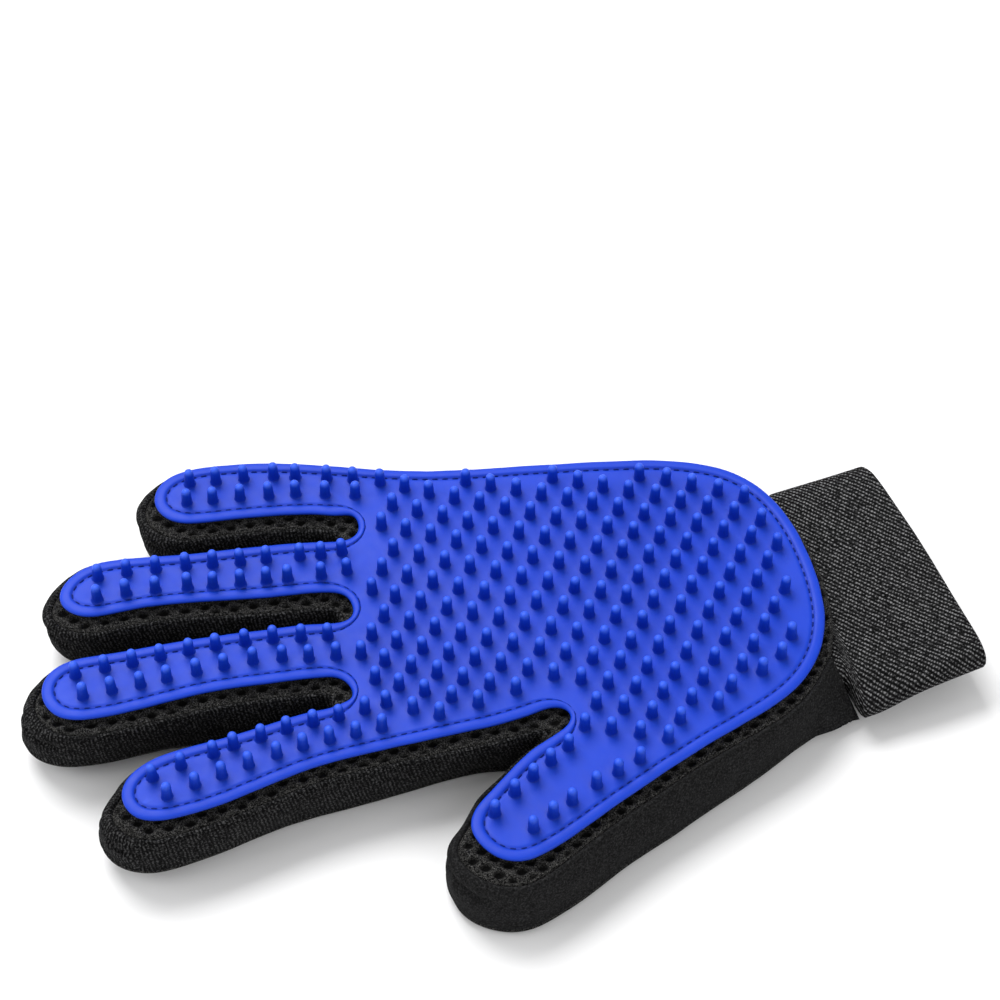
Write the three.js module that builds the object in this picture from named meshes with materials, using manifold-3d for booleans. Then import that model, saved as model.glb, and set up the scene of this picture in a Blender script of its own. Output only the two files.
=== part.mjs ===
// Pet grooming glove for the left hand, palm up.
// Fingers point to -X, the cuff to +X, the thumb to -Y, the bristled palm to +Z.
// The back of the glove rests on z = 0 and the origin is under the middle of the glove. Millimetres.
import * as THREE from 'three';
import { mergeVertices } from 'three/addons/utils/BufferGeometryUtils.js';
import Module from 'manifold-3d';

const { clamp, lerp, mapLinear, smoothstep } = THREE.MathUtils;

// ---- driving dimensions, every pair is [from, to] ---------------------------------------
const LAYER_GAP = 0.3;                   // between one layer and the next above it
const PANEL_T = 2;                       // palm panel and silicone pad, each
const BACK_Z = [0, 1.6];
const GUSSET_Z = [BACK_Z[1] + LAYER_GAP, 15.2];   // the side strip, between the two panels
const MESH_Z = [GUSSET_Z[1] + LAYER_GAP, GUSSET_Z[1] + LAYER_GAP + PANEL_T];
const PAD_Z = [MESH_Z[1] + LAYER_GAP, MESH_Z[1] + LAYER_GAP + PANEL_T];
const GUSSET_T = 1.2;
const FOLD_GAP = 0.4;                    // between the two sides of a fold
const BACK_END_X = 77.5;                 // the back panel stops here, just short of the cuff seam

// Bristle: a tapered, six-sided peg with a chamfered tip
const BRISTLE = {
  height: 5.2, sunk: 0.5, tipHeight: 0.7,
  footRadius: 1.25, neckRadius: 1.05, tipRadius: 0.6,
  sides: 6,
  foldClearance: 1.75,                   // a bristle's centre keeps this far from a fold
};

// The backs of the fingers lift off the table between fromX and toX.
// The lift is full at z = 0 and fades out at fadeZ.
const LIFT = { height: 4.5, fromX: -38, toX: -103, fadeZ: 15 };

// Cuff: a flattened elastic tube that runs into the palm under the wrist hem.
// It leans and narrows towards its mouth, which is cut on a slant (x per unit of y).
const CUFF = {
  x0: 60, xSeam: 79, xMouth: 114.7, slant: 0.155,
  y0: -31.4, y1: 33.2, z0: 4.2, z1: 14.6, wall: 1.8, corner: 5.1, arcSegments: 4,
  mouth: { y0: -27.2, y1: 35.8, z1: 14.2 },
};

// Hook and loop wrist strap on the back of the cuff
const STRAP = { x: [80, 100], y: [-24, 19.8], z: [0.35, 1.65] };
const HOOK = {
  x: [STRAP.x[0] + 1.5, STRAP.x[1] - 1.5], y: [-22.5, 0], z: [STRAP.z[1] + LAYER_GAP, 2.75],
};
const LOOP = {
  x: [STRAP.x[0] + 1, STRAP.x[1] - 1], y: [-25, 16], z: [HOOK.z[1] + LAYER_GAP, 3.9],
};
const ANCHOR = { x: STRAP.x, y: [STRAP.y[1] + FOLD_GAP, 27], z: [STRAP.z[0], LOOP.z[1]] };

// Fingers: the knuckle fold (a point on the finger's middle line), the direction of the finger,
// the distance from the knuckle fold to the middle fold, the length cut out beyond the knuckle
// fold, and the free space either side of the middle line [thumb side, little finger side]
// at the knuckle and at the tip.
const THUMB_SIDE = 0, LITTLE_SIDE = 1;
const FINGERS = {
  thumb:  { knuckle: [5.4, -46.1],   dir: [-0.855, -0.520], mid: 15, reach: 45, side: [[20, 18], [20, 18]] },
  index:  { knuckle: [-50.5, -20.1], dir: [-0.989, -0.147], mid: 24, reach: 62, side: [[16, 11.4], [17, 17.0]] },
  middle: { knuckle: [-50.0, 5.6],   dir: [-1.0, 0.0085],   mid: 29, reach: 74, side: [[13.9, 11.1], [18.0, 13.2]] },
  ring:   { knuckle: [-45.5, 30.3],  dir: [-0.996, 0.087],  mid: 28, reach: 72, side: [[13.4, 10.4], [16.0, 13.4]] },
  little: { knuckle: [-39.0, 54.5],  dir: [-0.989, 0.147],  mid: 20, reach: 52, side: [[13.6, 16.0], [16.0, 18.0]] },
};

// Cutters
const CUT_Z = [-6, 40];                  // reaches below and above the whole glove
const WRIST_MOUTH = [[71.0, 60], [81.5, -46], [130, -60], [130, 60]];   // no side strip here

// The palm's parts of the side strip: name, x range, y range
const PALM_GUSSETS = [
  ['thumb_side_gusset', [9, 95], [-75, -20]],
  ['little_side_gusset', [-45, 95], [33, 75]],
  ['thumb_index_fourchette', [-60, 8], [-38, -26]],
  ['index_middle_fourchette', [-60, -38], [-16, -2]],
  ['middle_ring_fourchette', [-60, -30], [11, 22]],
  ['ring_little_fourchette', [-60, -28], [34, 46]],
];
// The ring and little finger's crotch, kept out of the little finger side gusset
const RING_LITTLE_CROTCH = { x: [-45, -28], y: [33, 47], z: CUT_Z };

// ---- patterns: [x, y], anticlockwise, seen from the palm side ----------------------------
// silicone pad
const PAD_OUTLINE = [
  [78.6, -9.6], [79.5, -2.5], [79.6, 5.9], [78.8, 14.2], [77.3, 21.3], [76.3, 24.3], [75.0, 27.2], [73.6, 29.7],
  [72.1, 32.0], [70.3, 34.1], [68.5, 35.8], [66.3, 37.5], [64.0, 39.0], [60.4, 40.7], [56.3, 42.3], [51.3, 43.9],
  [46.3, 45.2], [35.7, 47.1], [6.4, 51.1], [-7.0, 53.4], [-18.7, 56.2], [-37.0, 62.0], [-43.9, 64.0], [-51.4, 65.6],
  [-58.5, 66.5], [-64.1, 66.8], [-68.1, 66.6], [-71.1, 65.6], [-73.4, 64.1], [-74.4, 63.0], [-75.3, 61.6], [-75.9, 60.2],
  [-76.1, 58.6], [-76.0, 57.1], [-75.6, 55.6], [-74.7, 53.8], [-73.7, 52.6], [-72.6, 51.6], [-71.2, 50.8], [-68.2, 49.8],
  [-65.0, 49.4], [-52.7, 48.5], [-45.5, 47.7], [-39.2, 46.5], [-33.8, 45.0], [-30.6, 43.6], [-29.3, 42.7], [-28.6, 41.8],
  [-28.2, 40.8], [-28.2, 39.3], [-28.8, 37.9], [-29.5, 37.1], [-31.1, 36.3], [-33.1, 36.2], [-39.7, 37.5], [-45.7, 38.3],
  [-69.2, 40.3], [-85.4, 42.5], [-91.0, 42.6], [-93.8, 42.2], [-96.4, 41.4], [-98.8, 40.1], [-100.7, 38.6], [-102.1, 36.7],
  [-102.9, 34.9], [-103.1, 33.0], [-102.6, 31.2], [-101.5, 29.5], [-99.8, 28.0], [-98.0, 27.1], [-95.7, 26.5], [-92.9, 26.4],
  [-83.7, 26.7], [-76.6, 26.3], [-69.4, 25.5], [-53.6, 23.3], [-42.0, 22.2], [-38.9, 21.7], [-37.0, 21.0], [-35.7, 20.2],
  [-34.6, 19.1], [-33.9, 18.2], [-33.4, 16.8], [-33.4, 15.6], [-33.9, 14.2], [-34.5, 13.3], [-36.0, 12.2], [-37.8, 11.8],
  [-46.0, 13.3], [-62.8, 14.3], [-70.4, 14.5], [-87.6, 14.6], [-101.2, 15.1], [-104.7, 14.3], [-106.4, 13.5], [-107.7, 12.5],
  [-108.8, 11.4], [-109.7, 10.1], [-110.3, 8.7], [-110.6, 7.1], [-110.6, 5.6], [-110.3, 3.6], [-109.6, 1.8], [-108.7, 0.5],
  [-107.6, -0.6], [-106.3, -1.5], [-104.8, -2.1], [-102.9, -2.6], [-99.4, -3.0], [-94.2, -3.0], [-77.0, -1.6], [-70.6, -1.3],
  [-63.8, -1.5], [-48.3, -2.3], [-44.7, -2.7], [-42.4, -3.4], [-40.5, -4.7], [-39.1, -6.5], [-38.6, -8.4], [-38.8, -9.8],
  [-39.5, -10.9], [-41.2, -11.7], [-43.1, -11.9], [-50.3, -12.1], [-66.5, -14.6], [-81.7, -15.9], [-86.4, -16.9], [-90.1, -18.4],
  [-92.4, -19.9], [-94.4, -21.8], [-95.5, -23.8], [-95.9, -26.1], [-95.6, -28.5], [-94.5, -30.9], [-92.8, -32.6], [-90.4, -33.7],
  [-88.0, -34.1], [-85.2, -34.2], [-78.5, -33.7], [-72.2, -32.5], [-55.5, -28.5], [-49.5, -27.5], [-43.2, -26.8], [-32.0, -26.1],
  [-8.8, -25.6], [-3.7, -25.1], [4.2, -23.9], [6.6, -24.0], [8.4, -24.7], [9.3, -25.6], [9.6, -26.9], [9.1, -28.3],
  [8.2, -29.5], [6.2, -30.8], [0.1, -33.7], [-2.9, -35.7], [-14.8, -45.1], [-16.8, -47.1], [-18.0, -49.1], [-18.5, -51.0],
  [-18.5, -53.3], [-17.8, -55.6], [-16.7, -57.7], [-14.9, -59.9], [-13.1, -61.3], [-10.9, -62.3], [-9.0, -62.7], [-7.0, -62.6],
  [-5.1, -62.2], [0.6, -60.3], [5.3, -58.1], [19.2, -51.0], [28.6, -46.6], [41.4, -41.1], [57.8, -34.6], [63.6, -31.8],
  [66.2, -30.0], [68.9, -27.7], [71.4, -25.0], [73.3, -22.5], [74.9, -19.8], [76.5, -16.5], [77.7, -13.1],
];
// palm panel of spacer mesh
const PALM_PANEL_OUTLINE = [
  [81.83, -9.77], [82.41, -5.01], [82.64, -1.81], [82.68, 2.19], [82.49, 6.98], [82.12, 10.97], [81.54, 14.93], [80.70, 18.84],
  [79.57, 22.67], [78.39, 25.65], [76.66, 29.25], [75.36, 31.27], [73.94, 33.20], [71.80, 35.59], [70.03, 37.20], [68.12, 38.66],
  [65.41, 40.36], [61.83, 42.14], [57.37, 43.91], [52.80, 45.38], [48.16, 46.61], [42.68, 47.76], [37.95, 48.58], [4.65, 53.16],
  [-1.67, 54.19], [-7.94, 55.44], [-12.63, 56.49], [-18.03, 57.95], [-35.60, 63.46], [-41.73, 65.28], [-47.18, 66.57], [-52.69, 67.61],
  [-55.86, 68.05], [-59.83, 68.47], [-64.62, 68.88], [-67.01, 68.97], [-68.60, 68.83], [-70.14, 68.44], [-72.31, 67.52], [-73.59, 66.80],
  [-76.40, 64.61], [-77.95, 63.17], [-79.32, 61.47], [-80.07, 60.16], [-80.38, 59.45], [-80.80, 57.95], [-80.89, 57.16], [-80.82, 55.57],
  [-80.67, 54.79], [-80.19, 53.27], [-79.86, 52.54], [-79.06, 51.15], [-78.59, 50.50], [-77.54, 49.30], [-76.33, 48.25], [-75.68, 47.78],
  [-74.30, 46.98], [-72.08, 46.08], [-71.59, 45.77], [-67.60, 45.38], [-49.26, 43.93], [-46.87, 43.66], [-42.92, 43.01], [-38.23, 42.00],
  [-35.92, 41.35], [-33.65, 40.59], [-32.21, 39.89], [-32.01, 39.21], [-32.51, 38.59], [-33.16, 38.19], [-39.46, 39.29], [-42.63, 39.74],
  [-46.61, 40.16], [-62.56, 41.48], [-68.93, 42.08], [-74.49, 42.75], [-88.76, 44.71], [-90.36, 44.83], [-93.55, 44.66], [-95.90, 44.22],
  [-97.40, 43.69], [-98.82, 43.00], [-100.73, 41.67], [-102.89, 39.59], [-105.17, 36.99], [-105.99, 35.86], [-106.70, 34.59], [-107.25, 33.17],
  [-107.42, 32.41], [-107.47, 31.63], [-107.26, 30.07], [-106.72, 28.57], [-106.35, 27.86], [-105.42, 26.57], [-104.30, 25.42], [-103.05, 24.43],
  [-101.67, 23.62], [-100.20, 22.99], [-98.66, 22.55], [-97.09, 22.24], [-95.50, 22.12], [-84.30, 22.49], [-81.10, 22.43], [-76.31, 22.12],
  [-69.95, 21.39], [-52.52, 18.95], [-40.57, 17.82], [-39.04, 17.37], [-38.31, 17.05], [-37.63, 16.63], [-37.04, 16.10], [-36.86, 15.33],
  [-36.88, 14.54], [-37.54, 14.15], [-38.33, 14.10], [-46.27, 15.07], [-54.25, 15.67], [-61.44, 16.07], [-69.44, 16.25], [-83.05, 16.31],
  [-89.45, 16.44], [-99.83, 16.99], [-102.23, 16.95], [-104.57, 16.48], [-106.04, 15.92], [-107.41, 15.17], [-108.63, 14.26], [-109.74, 13.27],
  [-110.74, 12.22], [-112.17, 10.60], [-113.08, 9.42], [-113.49, 8.77], [-114.15, 7.37], [-114.56, 5.84], [-114.65, 5.05], [-114.60, 3.46],
  [-114.30, 1.89], [-113.77, 0.38], [-113.06, -1.05], [-112.15, -2.37], [-111.07, -3.55], [-109.16, -5.00], [-108.47, -5.40], [-107.01, -6.06],
  [-104.72, -6.76], [-102.35, -7.10], [-98.36, -7.38], [-94.36, -7.20], [-77.61, -5.85], [-71.22, -5.49], [-64.02, -5.67], [-48.84, -6.45],
  [-44.85, -6.77], [-43.50, -7.40], [-42.87, -7.89], [-42.33, -8.48], [-42.30, -9.23], [-42.89, -9.73], [-43.66, -9.93], [-45.25, -10.08],
  [-49.25, -10.26], [-51.64, -10.49], [-67.46, -12.91], [-72.23, -13.39], [-81.01, -14.01], [-84.19, -14.36], [-86.52, -14.93], [-88.04, -15.47],
  [-89.50, -16.10], [-90.91, -16.81], [-92.23, -17.63], [-93.99, -19.07], [-94.96, -20.13], [-97.27, -23.16], [-99.60, -25.74], [-100.40, -27.11],
  [-100.65, -27.86], [-100.78, -28.65], [-100.77, -29.44], [-100.49, -31.01], [-99.94, -32.51], [-99.57, -33.22], [-98.67, -34.54], [-97.60, -35.73],
  [-96.36, -36.74], [-94.98, -37.54], [-93.51, -38.18], [-91.99, -38.66], [-89.61, -39.00], [-87.21, -38.94], [-80.84, -38.34], [-76.10, -37.59],
  [-69.84, -36.24], [-59.75, -33.74], [-55.85, -32.85], [-51.13, -31.97], [-47.16, -31.42], [-40.80, -30.76], [-35.21, -30.43], [-27.21, -30.17],
  [-11.21, -29.82], [-6.41, -29.64], [-4.82, -29.47], [3.09, -28.24], [4.68, -28.15], [5.11, -28.71], [4.55, -29.27], [3.16, -30.06],
  [-0.43, -31.83], [-2.50, -33.04], [-4.48, -34.40], [-10.28, -38.67], [-13.58, -40.93], [-14.87, -41.90], [-16.03, -43.08], [-16.56, -43.77],
  [-18.39, -46.68], [-19.78, -48.61], [-22.58, -51.42], [-23.50, -52.65], [-23.89, -53.34], [-24.21, -54.08], [-24.42, -54.85], [-24.52, -55.64],
  [-24.53, -56.44], [-24.28, -58.01], [-23.46, -60.26], [-22.72, -61.68], [-21.83, -63.01], [-20.81, -64.24], [-19.69, -65.38], [-18.45, -66.39],
  [-17.78, -66.84], [-16.38, -67.61], [-14.92, -68.25], [-14.16, -68.51], [-12.60, -68.86], [-11.02, -69.07], [-10.22, -69.10], [-8.62, -69.01],
  [-7.83, -68.88], [-5.52, -68.22], [-3.28, -67.38], [-1.10, -66.37], [1.74, -64.88], [14.37, -57.97], [19.37, -55.43], [24.42, -53.01],
  [32.43, -49.36], [40.51, -45.88], [61.33, -37.60], [62.06, -37.27], [65.52, -35.27], [67.51, -33.92], [68.78, -32.95], [71.73, -30.26],
  [73.87, -27.88], [76.22, -24.64], [77.46, -22.58], [78.20, -21.16], [79.78, -17.49], [80.55, -15.22], [81.20, -12.91], [81.57, -11.35],
];
// back panel and foot of the side strip
const BACK_OUTLINE = [
  [74.00, 36.60], [72.01, 37.94], [67.75, 40.15], [64.31, 42.19], [62.86, 42.87], [59.81, 43.85], [52.00, 45.62], [47.35, 46.79],
  [42.64, 47.77], [37.91, 48.59], [4.60, 53.17], [-1.72, 54.20], [-8.00, 55.45], [-12.69, 56.51], [-18.10, 57.97], [-41.03, 65.08],
  [-45.69, 66.24], [-50.40, 67.22], [-56.73, 68.15], [-65.50, 68.96], [-69.50, 68.99], [-71.86, 68.57], [-74.15, 67.86], [-76.21, 66.63],
  [-77.43, 65.60], [-78.46, 64.39], [-78.89, 63.73], [-79.54, 62.30], [-79.94, 60.81], [-80.13, 59.32], [-80.13, 57.10], [-79.83, 54.91],
  [-79.26, 52.73], [-78.67, 51.30], [-77.86, 49.95], [-76.82, 48.76], [-75.58, 47.75], [-74.21, 46.94], [-71.48, 45.76], [-49.14, 43.92],
  [-45.97, 43.53], [-42.02, 42.85], [-38.12, 41.97], [-34.28, 40.83], [-32.80, 40.22], [-32.11, 39.81], [-32.07, 39.10], [-32.60, 38.51],
  [-33.28, 38.20], [-39.59, 39.31], [-43.55, 39.85], [-69.07, 42.10], [-88.91, 44.72], [-90.51, 44.83], [-93.70, 44.67], [-95.29, 44.48],
  [-97.64, 43.96], [-99.16, 43.47], [-100.63, 42.83], [-102.03, 42.05], [-103.34, 41.14], [-104.53, 40.07], [-105.05, 39.48], [-105.93, 38.16],
  [-106.57, 36.74], [-106.96, 35.26], [-107.14, 33.76], [-107.15, 32.28], [-106.91, 30.82], [-106.49, 29.36], [-105.53, 27.28], [-104.06, 25.44],
  [-102.20, 23.96], [-100.04, 22.93], [-97.71, 22.35], [-96.13, 22.14], [-94.53, 22.12], [-83.33, 22.49], [-76.13, 22.10], [-70.57, 21.47],
  [-53.12, 19.02], [-41.17, 17.90], [-40.38, 17.79], [-38.86, 17.30], [-37.47, 16.52], [-36.95, 15.92], [-36.83, 15.13], [-37.00, 14.39],
  [-37.73, 14.12], [-38.53, 14.10], [-46.47, 15.08], [-56.05, 15.79], [-64.05, 16.16], [-87.27, 16.37], [-101.66, 17.02], [-104.05, 16.79],
  [-106.38, 16.24], [-108.59, 15.29], [-110.64, 14.03], [-112.58, 12.51], [-114.56, 10.74], [-114.70, 10.04], [-114.70, -1.54], [-114.58, -2.27],
  [-113.18, -3.54], [-111.65, -4.54], [-110.04, -5.29], [-107.62, -6.06], [-104.44, -6.62], [-98.10, -6.91], [-93.35, -6.56], [-85.41, -5.61],
  [-82.21, -5.39], [-75.77, -5.57], [-69.36, -5.50], [-63.76, -5.68], [-50.17, -6.37], [-44.58, -6.82], [-43.27, -7.54], [-42.68, -8.08],
  [-42.21, -8.72], [-42.44, -9.46], [-43.15, -9.81], [-43.93, -9.97], [-48.73, -10.22], [-51.91, -10.53], [-63.77, -12.40], [-68.53, -13.04],
  [-81.30, -14.03], [-85.28, -14.48], [-88.42, -15.12], [-91.50, -15.99], [-93.72, -16.89], [-95.84, -18.03], [-97.80, -19.43], [-99.66, -21.09],
  [-100.81, -22.38], [-101.78, -23.88], [-102.49, -25.56], [-102.86, -27.38], [-102.90, -28.32], [-102.71, -30.17], [-102.23, -31.93], [-101.43, -33.62],
  [-100.33, -35.13], [-99.02, -36.41], [-97.53, -37.46], [-96.74, -37.89], [-95.10, -38.52], [-92.63, -39.16], [-90.13, -39.30], [-88.50, -39.23],
  [-82.16, -38.10], [-75.20, -36.40], [-64.52, -33.10], [-59.87, -31.81], [-54.31, -30.62], [-48.65, -29.83], [-35.75, -28.57], [-18.93, -26.68],
  [-13.34, -26.33], [-8.59, -26.47], [-4.80, -27.07], [0.18, -28.09], [1.82, -28.17], [4.25, -28.10], [5.00, -28.31], [4.90, -28.99],
  [4.25, -29.46], [-0.04, -31.62], [-2.13, -32.81], [-4.77, -34.61], [-11.89, -39.80], [-19.43, -44.34], [-21.38, -45.74], [-22.88, -47.62],
  [-23.70, -49.00], [-24.33, -50.48], [-24.89, -52.83], [-25.06, -55.26], [-24.95, -57.74], [-24.49, -60.25], [-23.96, -61.89], [-23.20, -63.45],
  [-22.20, -64.88], [-21.01, -66.15], [-19.66, -67.28], [-18.17, -68.24], [-16.63, -69.00], [-3.00, -69.00], [-2.21, -68.85], [1.61, -67.24],
  [5.29, -65.55], [15.15, -60.30], [19.41, -58.20], [30.33, -53.39], [41.03, -48.24], [51.22, -43.68], [56.98, -40.78], [63.40, -37.32],
  [64.22, -37.27], [73.57, -35.09], [79.11, -34.26], [80.63, -33.75], [82.05, -33.02], [83.20, -31.92], [83.97, -30.52], [84.64, -28.22],
  [84.98, -25.04], [85.08, -21.84], [84.93, -14.63], [84.39, -0.23], [83.98, 5.35], [83.16, 12.51], [82.39, 17.25], [81.38, 21.95],
  [80.38, 25.82], [79.14, 29.63], [78.18, 31.83], [76.90, 33.85], [75.82, 35.03],
];
// bristle centres [x, y], before they are moved clear of the folds
const BRISTLE_CENTRES = [
  [-101.0, 3.4], [-101.9, 9.8], [-94.0, 3.6], [-94.8, 10.3], [-93.9, 31.2], [-88.0, -22.7], [-87.1, 3.8], [-88.1, 10.3],
  [-92.9, 37.4], [-85.5, -28.3], [-81.1, -20.9], [-81.3, 10.6], [-86.8, 31.3], [-85.8, 37.5], [-78.7, -26.7], [-80.3, 4.1],
  [-79.7, 30.9], [-78.7, 37.1], [-72.2, -25.4], [-74.5, -19.5], [-73.5, 4.4], [-74.5, 10.8], [-72.9, 30.2], [-71.9, 36.4],
  [-65.6, -24.0], [-68.2, -18.0], [-66.9, 4.7], [-67.9, 10.9], [-65.8, 29.3], [-64.8, 35.5], [-68.1, 56.0], [-66.5, 61.8],
  [-58.7, -22.7], [-61.6, -17.2], [-59.9, 4.9], [-60.8, 10.8], [-59.0, 28.5], [-58.0, 34.7], [-61.7, 55.2], [-60.0, 61.1],
  [-52.4, -21.8], [-55.3, -16.3], [-52.9, 4.3], [-54.1, 10.2], [-52.7, 27.9], [-51.7, 34.1], [-54.9, 54.7], [-53.0, 60.5],
  [-45.9, -21.3], [-48.9, -15.7], [-46.6, 2.9], [-47.4, 9.1], [-46.1, 27.2], [-45.1, 33.4], [-47.7, 53.7], [-45.5, 59.5],
  [-39.6, -20.9], [-42.6, -15.4], [-40.1, 2.0], [-41.0, 8.2], [-39.3, 26.4], [-40.7, 52.8], [-33.3, -20.6], [-36.3, -14.8],
  [-34.2, 0.9], [-33.0, 32.5], [-38.3, 32.6], [-33.9, 51.0], [-39.0, 57.9], [-30.9, -14.1], [-27.1, -10.1], [-32.3, -6.9],
  [-29.0, -2.4], [-30.6, 5.7], [-28.0, 19.1], [-32.9, 26.5], [-32.6, 55.9], [-25.1, -17.4], [-21.4, -13.1], [-23.3, -5.6],
  [-25.2, 2.2], [-21.1, 7.2], [-26.8, 10.5], [-22.9, 15.6], [-24.5, 24.4], [-22.0, 38.0], [-26.6, 49.1], [-26.2, 54.0],
  [-19.4, -20.3], [-15.6, -16.1], [-17.6, -8.7], [-19.4, -0.9], [-15.4, 4.1], [-17.2, 12.4], [-18.9, 20.9], [-20.6, 29.6],
  [-16.5, 34.8], [-18.2, 43.4], [-19.7, 51.7], [-12.0, -49.0], [-9.8, -19.2], [-11.9, -11.7], [-13.7, -3.9], [-9.7, 1.0],
  [-11.4, 9.3], [-13.1, 17.7], [-9.0, 23.1], [-14.8, 26.3], [-10.8, 31.7], [-12.5, 40.2], [-14.1, 48.5], [-5.0, -55.5],
  [-6.6, -44.9], [-6.0, -14.7], [-7.9, -6.9], [-3.9, -1.9], [-5.6, 6.2], [-7.4, 14.6], [-3.3, 20.1], [-5.0, 28.5],
  [-6.7, 37.1], [-8.4, 45.4], [0.7, -52.4], [-1.6, -41.6], [-0.2, -17.4], [-2.1, -9.8], [1.9, -4.7], [0.2, 3.3],
  [-1.6, 11.6], [2.5, 17.1], [0.8, 25.5], [-0.9, 33.9], [-2.6, 42.3], [1.4, 47.3], [6.6, -49.5], [3.4, -38.5],
  [8.3, -35.3], [3.8, -12.6], [7.8, -7.5], [6.0, 0.5], [4.2, 8.7], [8.3, 14.1], [6.6, 22.5], [4.9, 30.9],
  [3.1, 39.2], [7.2, 44.3], [12.4, -46.9], [13.4, -30.7], [9.6, -15.3], [13.7, -10.1], [11.9, -2.3], [10.1, 5.9],
  [14.2, 11.3], [12.4, 19.6], [10.7, 28.0], [14.8, 33.3], [9.0, 36.3], [13.1, 41.5], [18.1, -44.5], [19.3, -33.0],
  [17.5, -25.4], [15.6, -17.9], [19.6, -12.8], [17.8, -4.9], [16.0, 3.1], [20.2, 8.6], [18.3, 16.8], [16.6, 25.0],
  [20.7, 30.4], [18.9, 38.5], [23.9, -42.2], [25.6, -35.5], [23.6, -28.0], [21.6, -20.5], [25.7, -15.4], [23.8, -7.6],
  [22.0, 0.5], [26.1, 5.8], [24.3, 14.0], [22.4, 22.2], [26.6, 27.6], [24.8, 35.5], [22.9, 43.4], [31.7, -38.3],
  [29.7, -30.8], [27.6, -23.1], [31.7, -18.1], [29.8, -10.2], [27.9, -2.2], [32.0, 3.1], [30.2, 11.3], [28.4, 19.4],
  [32.5, 24.7], [30.6, 32.7], [28.8, 40.5], [35.8, -33.8], [33.7, -25.9], [37.8, -21.0], [35.9, -13.0], [34.0, -4.9],
  [38.1, 0.4], [36.2, 8.5], [34.3, 16.7], [38.4, 21.9], [36.5, 29.8], [34.6, 37.7], [39.9, -28.9], [44.0, -24.0],
  [42.0, -15.9], [40.0, -7.8], [44.1, -2.5], [42.2, 5.7], [40.3, 13.8], [44.4, 19.1], [42.5, 27.0], [40.5, 34.8],
  [44.5, 39.4], [45.6, -31.6], [50.0, -27.4], [48.1, -19.0], [46.1, -10.7], [50.3, -5.5], [48.3, 2.7], [46.4, 11.0],
  [50.4, 16.0], [48.5, 24.0], [46.5, 31.9], [50.5, 36.6], [54.2, -22.3], [52.2, -13.9], [56.3, -8.8], [54.4, -0.4],
  [52.4, 7.8], [56.5, 12.9], [54.4, 21.0], [52.4, 28.9], [56.4, 33.4], [58.5, -24.6], [58.3, -17.4], [62.4, -12.3],
  [60.4, -3.7], [58.4, 4.6], [62.5, 9.6], [60.5, 17.8], [58.4, 25.7], [62.4, 30.4], [64.2, -21.1], [68.3, -16.0],
  [66.4, -7.2], [64.5, 1.3], [68.5, 6.2], [66.5, 14.5], [64.5, 22.5], [68.3, 27.0], [70.5, -2.3], [72.4, 10.9],
  [70.4, 19.0],
];

// ---- solids --------------------------------------------------------------------------------
const WELD_DISTANCE = 1e-4;
const wasm = await Module();
wasm.setup();

// A closed geometry as a solid; warp moves each vertex in place
function toSolid(geometry, warp) {
  geometry.deleteAttribute('normal');
  geometry.deleteAttribute('uv');
  if (warp) {
    const position = geometry.attributes.position;
    const vertex = new THREE.Vector3();
    for (let i = 0; i < position.count; i += 1) {
      vertex.fromBufferAttribute(position, i);
      warp(vertex);
      position.setXYZ(i, vertex.x, vertex.y, vertex.z);
    }
  }
  const welded = mergeVertices(geometry, WELD_DISTANCE);
  return new wasm.Manifold(new wasm.Mesh({
    numProp: 3,
    vertProperties: new Float32Array(welded.attributes.position.array),
    triVerts: new Uint32Array(welded.index.array),
  }));
}

// The outline may run either way round
function prism(outline, [z0, z1], warp) {
  const shape = new THREE.Shape(outline.map(([x, y]) => new THREE.Vector2(x, y)));
  const geometry = new THREE.ExtrudeGeometry(shape, {
    depth: z1 - z0, steps: 1, bevelEnabled: false,
  });
  geometry.translate(0, 0, z0);
  return toSolid(geometry, warp);
}

function box({ x, y, z }) {
  const geometry = new THREE.BoxGeometry(x[1] - x[0], y[1] - y[0], z[1] - z[0]);
  geometry.translate((x[0] + x[1]) / 2, (y[0] + y[1]) / 2, (z[0] + z[1]) / 2);
  return toSolid(geometry);
}

// Lifts the fingers' undersides gently towards the tips
function lift(vertex) {
  const rise = LIFT.height * smoothstep(-vertex.x, -LIFT.fromX, -LIFT.toX);
  vertex.z += rise * Math.max(0, (LIFT.fadeZ - vertex.z) / LIFT.fadeZ);
}

// An anticlockwise outline moved inwards along its mitred corners
function inset(outline, distance) {
  const minMitreCosine = 0.75;           // keeps sharp corners from shooting inwards
  const count = outline.length;
  return outline.map(([x, y], i) => {
    const before = outline[(i + count - 1) % count];
    const after = outline[(i + 1) % count];
    const edgeIn = new THREE.Vector2(x - before[0], y - before[1]).normalize();
    const edgeOut = new THREE.Vector2(after[0] - x, after[1] - y).normalize();
    const normalIn = new THREE.Vector2(-edgeIn.y, edgeIn.x);
    const normalOut = new THREE.Vector2(-edgeOut.y, edgeOut.x);
    const mitre = normalIn.clone().add(normalOut).normalize();
    const shift = distance / Math.max(minMitreCosine, mitre.dot(normalIn));
    return [x + mitre.x * shift, y + mitre.y * shift];
  });
}

// ---- finger frames ---------------------------------------------------------------------------
// Unit vectors along the finger and across it, towards the little finger's side
function fingerAxes(finger) {
  const along = new THREE.Vector2(...finger.dir).normalize();
  return { along, across: new THREE.Vector2(along.y, -along.x) };
}

// [x, y] of a point given by its distances along and across the finger from the knuckle fold
function fingerPoint(finger, distance, offset) {
  const { along, across } = fingerAxes(finger);
  const [x, y] = finger.knuckle;
  return [
    x + along.x * distance + across.x * offset,
    y + along.y * distance + across.y * offset,
  ];
}

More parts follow.
